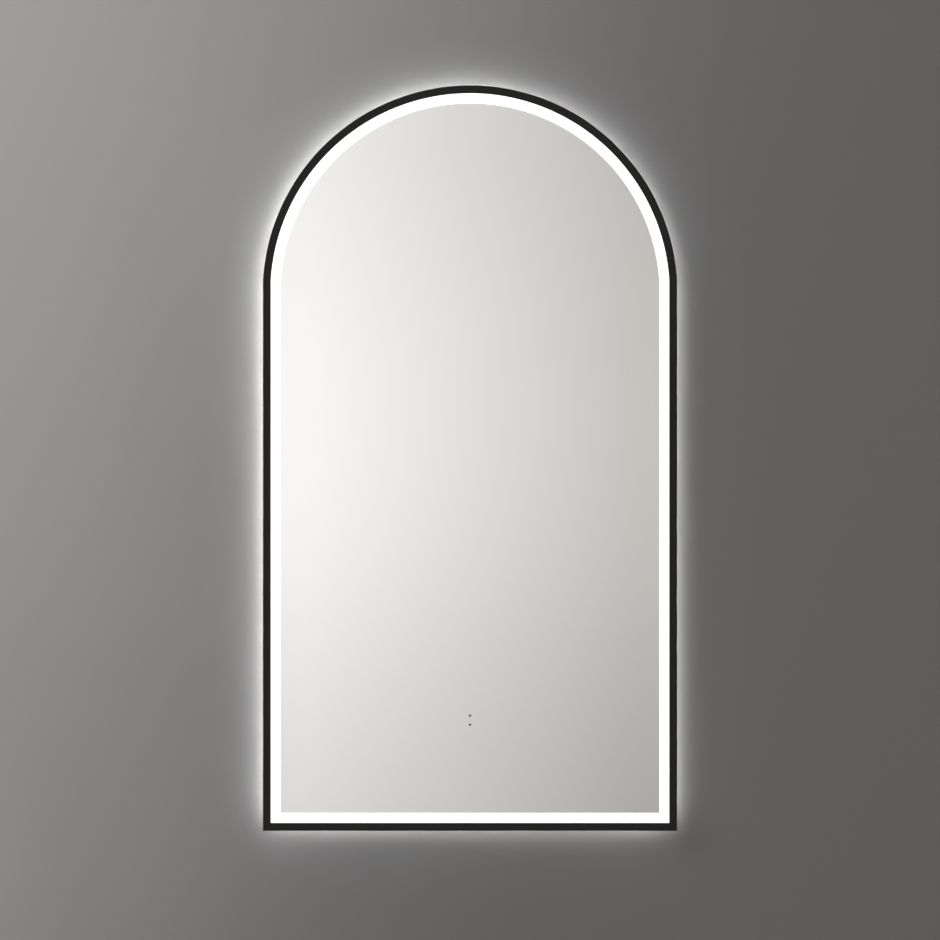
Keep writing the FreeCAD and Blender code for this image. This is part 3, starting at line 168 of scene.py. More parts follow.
def makeLitAcrylic(name, light):
    # extruded opal acrylic, lit from behind: an even white in which no single diode shows
    sheet = {"colours": ("#f1f1ee", "#f6f6f4"), "patch": 60 * mm, "grain": 1.5 * mm, "height": 0.01 * mm,
             "roughness": (0.5, 0.6), "ior": 1.49}
    material, tree, shader, where = startMaterial(name, {
        "IOR": sheet["ior"], "Emission Color": linear("#ffffff"), "Emission Strength": light,
    })
    driftColour(tree, shader, where, sheet["colours"], sheet["patch"])
    addGrain(tree, shader, where, sheet["grain"], sheet["height"], sheet["roughness"])
    return material


def makeLitCover():
    # the same acrylic over the halo's strip. The strip stands at the cover's inner edge, so the cover is
    # brightest there and fades outward, which spreads a soft glow on the wall.
    # fade is the stretch, measured in from the frame's outline, over which it goes from dim to full.
    glow = {"light": 80.0, "colours": ("#212121", "#ffffff"), "fade": (10 * mm, 21 * mm)}
    material = makeLitAcrylic("litOpalCover", glow["light"])
    tree = material.node_tree
    low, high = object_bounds()
    where = addNode(tree, "ShaderNodeTexCoord").outputs["Object"]
    axes = addNode(tree, "ShaderNodeSeparateXYZ", None, {"Vector": where})
    rise = addNode(tree, "ShaderNodeMath", {"operation": "SUBTRACT"}, {
        0: axes.outputs["Z"], 1: high.z - high.x,
    })
    above = addNode(tree, "ShaderNodeMath", {"operation": "MAXIMUM"}, {0: rise.outputs["Value"], 1: 0.0})
    fromCentre = addNode(tree, "ShaderNodeCombineXYZ", None, {
        "X": axes.outputs["X"], "Z": above.outputs["Value"],
    })
    reach = addNode(tree, "ShaderNodeVectorMath", {"operation": "LENGTH"}, {0: fromCentre.outputs["Vector"]})
    fromSide = addNode(tree, "ShaderNodeMath", {"operation": "SUBTRACT"}, {
        0: high.x, 1: reach.outputs["Value"],
    })
    fromFoot = addNode(tree, "ShaderNodeMath", {"operation": "SUBTRACT"}, {0: axes.outputs["Z"], 1: low.z})
    inset = addNode(tree, "ShaderNodeMath", {"operation": "MINIMUM"}, {
        0: fromSide.outputs["Value"], 1: fromFoot.outputs["Value"],
    })
    share = addNode(tree, "ShaderNodeMapRange", {"interpolation_type": "SMOOTHSTEP"}, {
        "Value": inset.outputs["Value"], "From Min": glow["fade"][0], "From Max": glow["fade"][1],
    })
    blend = addNode(tree, "ShaderNodeMix", {"data_type": "RGBA"}, {
        "Factor": share.outputs["Result"],
        colourLow: linear(glow["colours"][0]), colourHigh: linear(glow["colours"][1]),
    })
    tree.links.new(blend.outputs[colourOut], tree.nodes["Principled BSDF"].inputs["Emission Color"])
    return material


def makeStripFilm():
    # white solder resist on flexible circuit: satin, a little yellowed in places by the reflow oven
    film = {"colours": ("#e2e0d4", "#f2f2ee"), "patch": 12 * mm, "grain": 2 * mm, "height": 0.02 * mm,
            "roughness": (0.35, 0.45), "ior": 1.5}
    material, tree, shader, where = startMaterial("flexibleCircuit", {"IOR": film["ior"]})
    driftColour(tree, shader, where, film["colours"], film["patch"])
    addGrain(tree, shader, where, film["grain"], film["height"], film["roughness"])
    return material


def makePhosphor():
    # silicone full of yellow phosphor, dropped on each diode: a warm glowing bead
    gel = {"colours": ("#e6d873", "#f3e9a0"), "patch": 1 * mm, "grain": 0.4 * mm, "height": 0.02 * mm,
           "roughness": (0.3, 0.4), "ior": 1.41, "light": 1.0}
    material, tree, shader, where = startMaterial("phosphorSilicone", {
        "IOR": gel["ior"], "Emission Color": linear("#fff6e0"), "Emission Strength": gel["light"],
    })
    driftColour(tree, shader, where, gel["colours"], gel["patch"])
    addGrain(tree, shader, where, gel["grain"], gel["height"], gel["roughness"])
    return material


def makeGalvanised():
    # hot-dip galvanised sheet: frosty zinc crystals about 6 mm wide, each with its own tone and its own
    # sheen, and a painted sheen that grades across it
    sheet = {"crystal": 6 * mm, "waver": 9 * mm, "waverReach": 3 * mm, "colours": ("#a0a5a7", "#cacecf"),
             "paintedSheenGradient": 60.0, "roughness": (0.3, 0.5), "seam": 0.04 * mm, "seamStrength": 0.2}
    material, tree, shader, where = startMaterial("galvanisedSteel", {"Metallic": 1.0})
    waver = addNode(tree, "ShaderNodeTexNoise", None, {"Vector": where, "Scale": 1 / sheet["waver"]})
    reach = [sheet["waverReach"]] * 3
    bent = addNode(tree, "ShaderNodeVectorMath", {"operation": "MULTIPLY_ADD"}, {
        0: waver.outputs["Color"], 1: reach, 2: where,
    }).outputs["Vector"]
    cells = addNode(tree, "ShaderNodeTexVoronoi", None, {"Vector": bent, "Scale": 1 / sheet["crystal"]})
    tone = addNode(tree, "ShaderNodeSeparateColor", None, {"Color": cells.outputs["Color"]})
    inCell = addNode(tree, "ShaderNodeVectorMath", {"operation": "SUBTRACT"}, {
        0: bent, 1: cells.outputs["Position"],
    })
    # painted sheen: each crystal's colour grades lighter towards one side, in a direction set by its own
    # colour
    leaning = addNode(tree, "ShaderNodeVectorMath", {"operation": "SUBTRACT"}, {
        0: cells.outputs["Color"], 1: (0.5, 0.5, 0.5),
    })
    across = addNode(tree, "ShaderNodeVectorMath", {"operation": "DOT_PRODUCT"}, {
        0: inCell.outputs["Vector"], 1: leaning.outputs["Vector"],
    })
    shade = addNode(tree, "ShaderNodeMath", {"operation": "MULTIPLY_ADD", "use_clamp": True}, {
        0: across.outputs["Value"], 1: sheet["paintedSheenGradient"], 2: tone.outputs["Red"],
    })
    blend = addNode(tree, "ShaderNodeMix", {"data_type": "RGBA"}, {
        "Factor": shade.outputs["Value"],
        colourLow: linear(sheet["colours"][0]), colourHigh: linear(sheet["colours"][1]),
    })
    tree.links.new(blend.outputs[colourOut], shader.inputs["Base Color"])
    sheen = addNode(tree, "ShaderNodeMapRange", None, {
        "Value": tone.outputs["Green"], "To Min": sheet["roughness"][0], "To Max": sheet["roughness"][1],
    })
    tree.links.new(sheen.outputs["Result"], shader.inputs["Roughness"])
    seams = addNode(tree, "ShaderNodeBump", None, {
        "Height": cells.outputs["Distance"], "Strength": sheet["seamStrength"], "Distance": sheet["seam"],
    })
    tree.links.new(seams.outputs["Normal"], shader.inputs["Normal"])
    return material


def makeZincPlate():
    # bright zinc plating on formed screws: pale bluish metal with faint tool marks
    plating = {"colours": ("#b4b8bd", "#d2d3d1"), "patch": 4 * mm, "grain": 0.3 * mm, "height": 0.008 * mm,
               "roughness": (0.2, 0.34)}
    material, tree, shader, where = startMaterial("zincPlatedSteel", {"Metallic": 1.0})
    driftColour(tree, shader, where, plating["colours"], plating["patch"])
    addGrain(tree, shader, where, plating["grain"], plating["height"], plating["roughness"])
    return material


def makeMillAluminium():
    # extruded aluminium as it leaves the die: a soft pale sheen with fine lines along its length.
    # The real lines are 0.1 mm apart and are drawn at 0.5 mm.
    rail = {"colours": ("#c6c8ca", "#dbdcdd"), "patch": 6 * mm, "line": 0.5 * mm, "height": 0.02 * mm,
            "roughness": (0.28, 0.42), "stretch": (0.02, 1.0, 1.0)}
    material, tree, shader, where = startMaterial("extrudedAluminium", {"Metallic": 1.0})
    drawn = addNode(tree, "ShaderNodeMapping", None, {"Vector": where, "Scale": rail["stretch"]})
    driftColour(tree, shader, drawn.outputs["Vector"], rail["colours"], rail["patch"])
    addGrain(tree, shader, drawn.outputs["Vector"], rail["line"], rail["height"], rail["roughness"])
    return material


def makeMoulded(name, look):
    # plastic or rubber from a mould: one even colour, dulled by the fine spark texture of the tool.
    # The real texture is 0.1 to 0.2 mm and is drawn at about 0.5 mm, unless the look gives its own grain.
    common = {"patch": 22 * mm, "grain": 0.5 * mm, "height": 0.02 * mm}
    own = {**common, **look}
    material, tree, shader, where = startMaterial(name, {"IOR": own["ior"]})
    driftColour(tree, shader, where, own["colours"], own["patch"])
    addGrain(tree, shader, where, own["grain"], own["height"], own["roughness"])
    return material


def makeHeaterFilm():
    # polyester film laminated with adhesive: milky amber and glossy, with shallow waves from the roller
    film = {"colours": ("#b9ae8a", "#c8be9c"), "patch": 50 * mm, "wave": 16 * mm, "height": 0.3 * mm,
            "roughness": (0.22, 0.34), "ior": 1.6, "coat": 0.3, "coatRoughness": 0.15}
    material, tree, shader, where = startMaterial("laminatedPolyesterFilm", {
        "IOR": film["ior"], "Coat Weight": film["coat"], "Coat Roughness": film["coatRoughness"],
    })
    driftColour(tree, shader, where, film["colours"], film["patch"])
    addGrain(tree, shader, where, film["wave"], film["height"], film["roughness"])
    return material


def makeEtchedFoil():
    # aluminium foil track, etched and laminated under the film: dull silver-brown
    foil = {"colours": ("#8e8873", "#a39d88"), "patch": 18 * mm, "grain": 1.2 * mm, "height": 0.01 * mm,
            "roughness": (0.32, 0.45)}
    material, tree, shader, where = startMaterial("etchedAluminiumFoil", {"Metallic": 1.0})
    driftColour(tree, shader, where, foil["colours"], foil["patch"])
    addGrain(tree, shader, where, foil["grain"], foil["height"], foil["roughness"])
    return material


def makeBoard():
    # green solder resist over woven glass: glossy, with the weave just showing
    board = {"colours": ("#14552f", "#1d7042"), "patch": 12 * mm, "weave": 0.6 * mm, "height": 0.02 * mm,
             "roughness": (0.25, 0.4), "ior": 1.5, "coat": 0.4, "coatRoughness": 0.12}
    material, tree, shader, where = startMaterial("solderResistOnGlassCloth", {
        "IOR": board["ior"], "Coat Weight": board["coat"], "Coat Roughness": board["coatRoughness"],
    })
    driftColour(tree, shader, where, board["colours"], board["patch"])
    addGrain(tree, shader, where, board["weave"], board["height"], board["roughness"])
    return material


def makeEpoxy(name, colours):
    # diode body cast in epoxy: glossy, with the tint that its light needs
    lens = {"patch": 4 * mm, "grain": 0.8 * mm, "height": 0.003 * mm, "roughness": (0.05, 0.1),
            "ior": 1.55, "clear": 0.35}
    material, tree, shader, where = startMaterial(name, {
        "IOR": lens["ior"], "Transmission Weight": lens["clear"],
    })
    driftColour(tree, shader, where, colours, lens["patch"])
    addGrain(tree, shader, where, lens["grain"], lens["height"], lens["roughness"])
    return material


moulded = {
    "mouldedBlackRubber": {"colours": ("#121212", "#1b1b1b"), "roughness": (0.6, 0.8), "ior": 1.52},
    # the seal's black silicone, whose dark line at the lip's inner edge is also painted shade
    "siliconeAndPaintedShadowLine": {"colours": ("#0e0e0e", "#141414"), "roughness": (0.5, 0.6), "ior": 1.41},
    "acrylicFoamTape": {"colours": ("#373736", "#464645"), "roughness": (0.85, 0.95), "ior": 1.48,
                        "grain": 0.8 * mm, "height": 0.1 * mm},
    "mouldedWhiteAbs": {"colours": ("#dadad6", "#e4e4e0"), "roughness": (0.36, 0.5), "ior": 1.53},
    "mouldedBlackAbs": {"colours": ("#161616", "#1e1e1e"), "roughness": (0.36, 0.5), "ior": 1.53},
    "mouldedGreyPolyamide": {"colours": ("#c2c4c0", "#d0d1cd"), "roughness": (0.3, 0.42), "ior": 1.53},
    "mouldedDarkPolyamide": {"colours": ("#484b4d", "#56595b"), "roughness": (0.35, 0.48), "ior": 1.53},
    "mouldedWhitePolyamide": {"colours": ("#e1e1dc", "#ecece8"), "roughness": (0.35, 0.48), "ior": 1.53},
    "extrudedWhitePvc": {"colours": ("#d8d8d3", "#e2e2de"), "roughness": (0.34, 0.45), "ior": 1.54,
                         "grain": 1.5 * mm, "height": 0.03 * mm},
    "extrudedBlackPvc": {"colours": ("#151515", "#1d1d1d"), "roughness": (0.34, 0.45), "ior": 1.54,
                         "grain": 1.5 * mm, "height": 0.03 * mm},
}
finish = {name: makeMoulded(name, look) for name, look in moulded.items()}
powderCoat = makePowderCoat()
floatGlass = makeFloatGlass()
silver = makeSilver()
backingPaint = makeBackingPaint()
bandLight = 1.3
litBand = makeLitAcrylic("litOpalBand", bandLight)
litHalo = makeLitCover()
stripFilm = makeStripFilm()
phosphor = makePhosphor()
galvanised = makeGalvanised()
zincPlate = makeZincPlate()
millAluminium = makeMillAluminium()
heaterFilm = makeHeaterFilm()
etchedFoil = makeEtchedFoil()
solderResist = makeBoard()
clearEpoxy = makeEpoxy("castClearEpoxy", ("#b5b8c6", "#cbced9"))
darkEpoxy = makeEpoxy("castDarkEpoxy", ("#110915", "#1c1221"))
print("materials made")

carried = {
    powderCoat: ("frame_arch", "frame_left_leg", "frame_right_leg", "frame_bottom_rail"),
    galvanised: ("corner_keys", "splice_keys", "upper_crossbar", "lower_crossbar", "gear_tray"),
    zincPlate: ("key_screws", "frame_screws", "hanger_screws", "hanger_nuts", "control_box_screws"),
    millAluminium: ("hanger_rail", "wall_rail"),
    floatGlass: ("mirror_glass",),
    silver: ("mirror_silvering",),
    litBand: ("front_diffuser",),
    litHalo: ("halo_diffuser",),
    stripFilm: ("front_led_strip", "halo_led_strip"),
    phosphor: ("front_leds", "halo_leds"),
    heaterFilm: ("demister_pad",),
    solderResist: ("sensor_board",),
    clearEpoxy: ("ir_emitter",),
    darkEpoxy: ("ir_receiver",),
    finish["mouldedBlackRubber"]: ("setting_blocks", "wall_bumpers", "lead_grommets"),
    finish["acrylicFoamTape"]: ("box_tapes",),
    finish["mouldedWhiteAbs"]: ("control_box_base", "control_box_lid", "demister_cap"),
    finish["mouldedBlackAbs"]: ("led_driver", "sensor_housing", "sensor_cover"),
    finish["mouldedGreyPolyamide"]: ("terminal_block",),
    finish["mouldedDarkPolyamide"]: ("cable_gland", "gland_locknut"),
    finish["mouldedWhitePolyamide"]: ("cable_saddles",),
    finish["extrudedWhitePvc"]: ("front_led_lead", "halo_led_lead", "demister_lead"),
    finish["extrudedBlackPvc"]: ("sensor_lead",),
}
smoothAngle = math.radians(32)
for material, names in carried.items():
    for name in names:
        mesh = nodes[name].data
        mesh.materials.clear()
        mesh.materials.append(material)
        mesh.shade_smooth()
        mesh.set_sharp_from_angle(angle=smoothAngle)
print("finishes assigned:", sum(len(names) for names in carried.values()))


# Pieces

def addPiece(name, mesh, material, stands=None):
    # a piece on the mirror, which may stand for a CAD node
    piece = bpy.data.objects.new(name, mesh)
    bpy.context.scene.collection.objects.link(piece)
    mesh.materials.clear()
    mesh.materials.append(material)
    mesh.shade_smooth()
    mesh.set_sharp_from_angle(angle=smoothAngle)
    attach(piece, "mirror")
    if stands:
        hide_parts(stands)


def meshFrom(form, name):
    mesh = bpy.data.meshes.new(name)
    form.to_mesh(mesh)
    form.free()
    return mesh


def makeSilvering():
    # The silver stands a hair off the glass, so that light leaves the glass before it meets it. Its edge
    # and its two windows are set by the photo's own pixels, a millimetre or less from the CAD layer.
    layer = {"gap": 0.04 * mm, "spread": 1.05 * mm, "windows": (-480.8 * mm, -491.8 * mm),
             "windowReach": 2 * mm, "windowGrowth": 1.22, "windowDrop": 0.6 * mm}
    mesh = nodes["mirror_silvering"].data.copy()
    low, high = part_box("mirror_silvering")
    archCentre = high.z - high.x
    for vertex in mesh.vertices:
        x, y, z = vertex.co
        level = min(layer["windows"], key=lambda window: math.hypot(x, z - window))
        if math.hypot(x, z - level) < layer["windowReach"]:
            x *= layer["windowGrowth"]
            z = level + (z - level) * layer["windowGrowth"] - layer["windowDrop"]
        elif z > archCentre:
            reach = math.hypot(x, z - archCentre)
            x += x / reach * layer["spread"]
            z += (z - archCentre) / reach * layer["spread"]
        else:
            x += math.copysign(layer["spread"], x)
            if z < low.z + layer["gap"]:
                z -= layer["spread"]
        if y < low.y + layer["gap"]:
            y += layer["gap"]
        vertex.co = (x, y, z)
    addPiece("mirrorSilvering", mesh, silver, "mirror_silvering")
    mesh.materials.append(backingPaint)
    # the faces that look at the wall carry the paint
    for face in mesh.polygons:
        face.material_index = 1 if face.normal.y > 0.5 else 0


def looseBoxes(name):
    # the box of each separate solid in a node, in metres
    weld = 0.001 * mm
    form = bmesh.new()
    form.from_mesh(nodes[name].data)
    bmesh.ops.remove_doubles(form, verts=form.verts, dist=weld)
    boxes, seen = [], set()
    for start in form.verts:
        if start in seen:
            continue
        seen.add(start)
        solid, waiting = [], [start]
        while waiting:
            vertex = waiting.pop()
            solid.append(vertex.co)
            for edge in vertex.link_edges:
                other = edge.other_vert(vertex)
                if other not in seen:
                    seen.add(other)
                    waiting.append(other)
        low = Vector([min(point[i] for point in solid) for i in range(3)])
        high = Vector([max(point[i] for point in solid) for i in range(3)])
        boxes.append((low, high))
    form.free()
    return boxes


def turnProfile(profile, steps):
    # a closed solid turned about Z from (radius, height) points, from the axis round to the axis
    form = bmesh.new()
    rings = []
    for radius, height in profile:
        if radius == 0:
            rings.append([form.verts.new((0, 0, height))])
        else:
            ring = []
            for step in range(steps):
                angle = 2 * math.pi * step / steps
                ring.append(form.verts.new((radius * math.cos(angle), radius * math.sin(angle), height)))
            rings.append(ring)
    for upper, lower in zip(rings, rings[1:]):
        for step in range(steps):
            corners = [ring[(step + shift) % len(ring)] for ring, shift in
                       ((upper, 0), (upper, 1), (lower, 1), (lower, 0))]
            corners = [c for i, c in enumerate(corners) if c not in corners[:i]]
            form.faces.new(corners)
    bmesh.ops.recalc_face_normals(form, faces=form.faces)
    return form


def cutWith(mesh, cutter):
    # what is left of a mesh once the cutter's mesh is taken out of it
    body, tool = (bpy.data.objects.new(name, part) for name, part in (("blank", mesh), ("cutter", cutter)))
    for part in (body, tool):
        bpy.context.scene.collection.objects.link(part)
    cut = body.modifiers.new("cut", "BOOLEAN")
    cut.operation = "DIFFERENCE"
    cut.solver = "EXACT"
    cut.object = tool
    result = bpy.data.meshes.new_from_object(body.evaluated_get(bpy.context.evaluated_depsgraph_get()))
    for part in (body, tool):
        bpy.data.objects.remove(part)
    return result


def makeScrew(screw, shankLength):
    # a pan head with a cross recess: the head stands on z = 0 and the shank goes down from it.
    # rim and foot are shares of the head's height, root and tip of the shank's radius, slotFloor of the
    # recess at its mouth, and the others of the head's radius.
    share = {"flat": 0.5, "rim": 0.35, "foot": 0.06, "footRadius": 0.96, "root": 0.84, "tip": 0.6,
             "slotReach": 0.62, "slotWidth": 0.16, "slotFloor": 0.35}
    roundSteps, turnSteps, above = 8, 40, 0.2 * mm
    head, height, shank = screw["head"], screw["height"], screw["shank"]
    flat = share["flat"] * head
    profile = [(0, height)]
    for step in range(roundSteps + 1):
        angle = math.pi / 2 * (1 - step / roundSteps)
        level = height * (share["rim"] + (1 - share["rim"]) * math.sin(angle))
        profile.append((flat + (head - flat) * math.cos(angle), level))
    profile += [(head, share["foot"] * height), (share["footRadius"] * head, 0), (shank, 0)]
    pitch = screw["pitch"]
    turns = int(shankLength / pitch) - 1
    for turn in range(turns):
        profile += [(shank, -(turn + 0.5) * pitch), (share["root"] * shank, -(turn + 1) * pitch)]
    profile += [(shank, -(turns + 0.5) * pitch), (share["tip"] * shank, -shankLength), (0, -shankLength)]
    mesh = meshFrom(turnProfile(profile, turnSteps), "screw")
    reach, width = share["slotReach"] * head, share["slotWidth"] * head
    for along in (0, 1):
        cutter = bmesh.new()
        corners = []
        for level, part in ((height + above, 1.0), (height - screw["recess"], share["slotFloor"])):
            long, wide = reach * part, width * (1 + part) / 2
            pairs = [(-long, -wide), (long, -wide), (long, wide), (-long, wide)]
            corners.append([cutter.verts.new((y, x, level) if along else (x, y, level)) for x, y in pairs])
        top, bottom = corners
        cutter.faces.new(top)
        cutter.faces.new(bottom)
        for i in range(4):
            cutter.faces.new((top[i], top[i - 1], bottom[i - 1], bottom[i]))
        bmesh.ops.recalc_face_normals(cutter, faces=cutter.faces)
        mesh = cutWith(mesh, meshFrom(cutter, "bar"))
    return mesh


def makeScrews(name, node, screw):
    # one screw for each solid of the node, its head at the end that faces it, each left at its own turn
    total = bmesh.new()
    for index, (low, high) in enumerate(looseBoxes(node)):
        middle = (low + high) / 2
        if screw["faces"] == "inwards":
            facing = Vector((-math.copysign(1, middle.x), 0, 0))
            length = high.x - low.x
        else:
            facing = Vector((0, 1, 0))
            length = high.y - low.y
        seat = middle + facing * (length / 2 - screw["height"])
        turn = Matrix.Rotation(math.radians(screw["turn"] * index), 4, "Z")
        aim = facing.to_track_quat("Z", "Y").to_matrix().to_4x4()
        mesh = makeScrew(screw, length - screw["height"])
        mesh.transform(Matrix.Translation(seat) @ aim @ turn)
        total.from_mesh(mesh)
        bpy.data.meshes.remove(mesh)
    addPiece(name, meshFrom(total, name), zincPlate, node)


def sweepFlat(path, width, back, thickness):
    # a flat strip along a path of (x, z) points, between the planes y = back and y = back + thickness
    form = bmesh.new()
    rings = []
    for i, point in enumerate(path):
        before = path[max(i - 1, 0)]
        after = path[min(i + 1, len(path) - 1)]
        along = Vector((after[0] - before[0], after[1] - before[1])).normalized()
        side = Vector((-along.y, along.x)) * width / 2
        corners = [(point[0] + side.x * s, back + thickness * t, point[1] + side.y * s)
                   for s, t in ((-1, 0), (1, 0), (1, 1), (-1, 1))]
        rings.append([form.verts.new(corner) for corner in corners])
    for one, two in zip(rings, rings[1:]):
        for i in range(4):
            form.faces.new((one[i], one[i - 1], two[i - 1], two[i]))
    form.faces.new(rings[0])
    form.faces.new(rings[-1])
    bmesh.ops.recalc_face_normals(form, faces=form.faces)
    return form


def makeHeaterTracks():
    # the heater's foil track goes up and down across the film and both its ends run to the cap
    track = {"runs": 36, "margin": 9 * mm, "busMargin": 7 * mm, "busDrop": 7 * mm, "width": 3.0 * mm,
             "thickness": 0.05 * mm, "sink": 0.01 * mm, "capGap": 6 * mm, "turnSteps": 8}
    low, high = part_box("demister_pad")
    capLow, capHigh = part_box("demister_cap")
    left, right = low.x + track["margin"], high.x - track["margin"]
    busLevel = low.z + track["busMargin"]
    bottom, top = busLevel + track["busDrop"], high.z - track["margin"]
    pitch = (right - left) / (track["runs"] - 1)
    middle = (capLow.x + capHigh.x) / 2
    path = [(middle - track["capGap"], busLevel), (left, busLevel)]
    for run in range(track["runs"]):
        x = left + run * pitch
        start, end = (bottom, top) if run % 2 == 0 else (top, bottom)
        radius = pitch / 2
        rise = math.copysign(radius, end - start)
        path.append((x, start + rise if run else start))
        path.append((x, end - rise if run < track["runs"] - 1 else end))
        if run < track["runs"] - 1:
            for step in range(1, track["turnSteps"]):
                angle = math.pi * step / track["turnSteps"]
                path.append((x + radius * (1 - math.cos(angle)), end - rise + rise * math.sin(angle)))
    path += [(right, busLevel), (middle + track["capGap"], busLevel)]
    square = []
    for i, point in enumerate(path):
        # the corners of the two leads to the cap are doubled, so that the strip keeps its width there
        if point in ((left, busLevel), (right, busLevel)):
            before, after = Vector(path[i - 1]), Vector(path[i + 1])
            here = Vector(point)
            square.append(tuple(here + (before - here).normalized() * track["width"]))
            square.append(tuple(here + (after - here).normalized() * track["width"]))
        else:
            square.append(point)
    form = sweepFlat(square, track["width"], high.y - track["sink"], track["thickness"])
    addPiece("heaterTracks", meshFrom(form, "heaterTracks"), etchedFoil)


def makeGlandNut():
    # the gland's round nut has grip flutes, which fade out towards its mouth
    nut = {"flutes": 14, "depth": 0.45 * mm, "steps": 112, "inner": 5.9 * mm, "outer": 6.15 * mm,
           "start": 0.3 * mm, "end": 6.6 * mm, "collar": 9 * mm,
           "swell": ((0, 0), (0.04, 0.7), (0.12, 1), (0.7, 1), (0.9, 0.6), (1, 0))}  # along, flute depth
    low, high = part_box("cable_gland")
    axisY, axisZ = (low.y + high.y) / 2, (low.z + high.z) / 2
    collar = low.x + nut["collar"]
    form = bmesh.new()
    rings = []
    for share, lift in nut["swell"]:
        x = collar - nut["start"] - (nut["end"] - nut["start"]) * share
        ring = []
        for step in range(nut["steps"]):
            angle = 2 * math.pi * step / nut["steps"]
            wave = 0.5 + 0.5 * math.cos(nut["flutes"] * angle)
            radius = nut["outer"] + nut["depth"] * lift * math.sqrt(wave)
            y, z = axisY + radius * math.cos(angle), axisZ + radius * math.sin(angle)
            ring.append(form.verts.new((x, y, z)))
        rings.append(ring)
    for x in (collar - nut["end"], collar - nut["start"]):
        ring = []
        for step in range(nut["steps"]):
            angle = 2 * math.pi * step / nut["steps"]
            y, z = axisY + nut["inner"] * math.cos(angle), axisZ + nut["inner"] * math.sin(angle)
            ring.append(form.verts.new((x, y, z)))
        rings.append(ring)
    for one, two in zip(rings, rings[1:] + rings[:1]):
        for step in range(nut["steps"]):
            form.faces.new((one[step - 1], one[step], two[step], two[step - 1]))
    bmesh.ops.recalc_face_normals(form, faces=form.faces)
    addPiece("glandNut", meshFrom(form, "glandNut"), finish["mouldedDarkPolyamide"])


def makeSealAndShadowLine():
    # a thin bead of black silicone in the corner between the lip and the glass, all the way round; its black
    # also stands in as painted shade for the dark line along the lip's inner edge. Its section, in shares of
    # width and height, starts a little under the lip and comes down to the glass.
    bead = {"lip": 9 * mm, "width": 0.4 * mm, "height": 0.45 * mm, "gap": 0.02 * mm, "archDrop": 15.6 * mm,
            "archSteps": 160,
            "section": ((-0.2, 0), (-0.2, 1), (0.25, 0.92), (0.7, 0.55), (0.93, 0.25), (1, 0))}
    low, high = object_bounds()
    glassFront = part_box("mirror_glass")[0].y - bead["gap"]
    archRise = high.x - bead["archDrop"]
    archRadius = (high.x ** 2 + archRise ** 2) / (2 * archRise)
    archCentre = high.z - archRadius
    form = bmesh.new()
    rings = []
    for across, up in bead["section"]:
        inset = bead["lip"] + across * bead["width"]
        side, radius = high.x - inset, archRadius - inset
        start = math.acos(side / radius)
        points = [(-side, low.z + inset), (side, low.z + inset)]
        for step in range(bead["archSteps"] + 1):
            angle = start + (math.pi - 2 * start) * step / bead["archSteps"]
            points.append((radius * math.cos(angle), archCentre + radius * math.sin(angle)))
        rings.append([form.verts.new((x, glassFront - up * bead["height"], z)) for x, z in points])
    for one, two in zip(rings, rings[1:] + rings[:1]):
        for i in range(len(one)):
            form.faces.new((one[i - 1], one[i], two[i], two[i - 1]))
    bmesh.ops.recalc_face_normals(form, faces=form.faces)
    # painted shade: the black bead stands in for the dark line at the lip's inner edge
    addPiece("sealAndPaintedShadowLine", meshFrom(form, "sealAndPaintedShadowLine"), finish["siliconeAndPaintedShadowLine"])


boxScrew = {"head": 2.8 * mm, "height": 1.0 * mm, "shank": 1.5 * mm, "pitch": 0.6 * mm, "recess": 0.75 * mm,
            "faces": "back", "turn": 38}
metalScrew = {"head": 3.6 * mm, "height": 2.2 * mm, "shank": 2.0 * mm, "pitch": 0.7 * mm, "recess": 1.5 * mm,
              "faces": "inwards", "turn": 53}
hangerScrew = dict(metalScrew, faces="back", turn=67)

makeSilvering()
print("silvering made")
makeScrews("boxScrews", "control_box_screws", boxScrew)
makeScrews("frameScrews", "frame_screws", metalScrew)
makeScrews("hangerScrews", "hanger_screws", hangerScrew)
print("screws made")
makeHeaterTracks()
makeGlandNut()
print("heater tracks and gland nut made")
makeSealAndShadowLine()
print("glazing seal made")


# Stage: a plain wall and floor, soft light, and the camera

stage = {
    "wallHalf": 1.5,
    "wallTop": 1.8,
    "wallGap": 0.5 * mm,
    "floorHeight": -1.62,
    "floorHalf": 9.0,
    "opening": 220 * mm,  # half width of the hole behind the mirror, through which light reaches its back
    "openingRise": 30 * mm,
    # the wall's lit colour at the upper left, then the colour of its painted shade at the right and foot
    "wallLitAndShadedColours": ("#9a9999", "#686767"),
    "wallPaintedShadeFade": (-0.75, 0.35),  # the painted shade goes from the lit colour to the shaded one over this stretch, mostly across
    "wallPaintedShadeLean": 0.35,
    "wallClouds": 0.12,
    "cloud": 300 * mm,
    "floorColours": ("#eceae6", "#f1efeb"),
    "floorPatch": 1.5,
    "archSteps": 40,
}


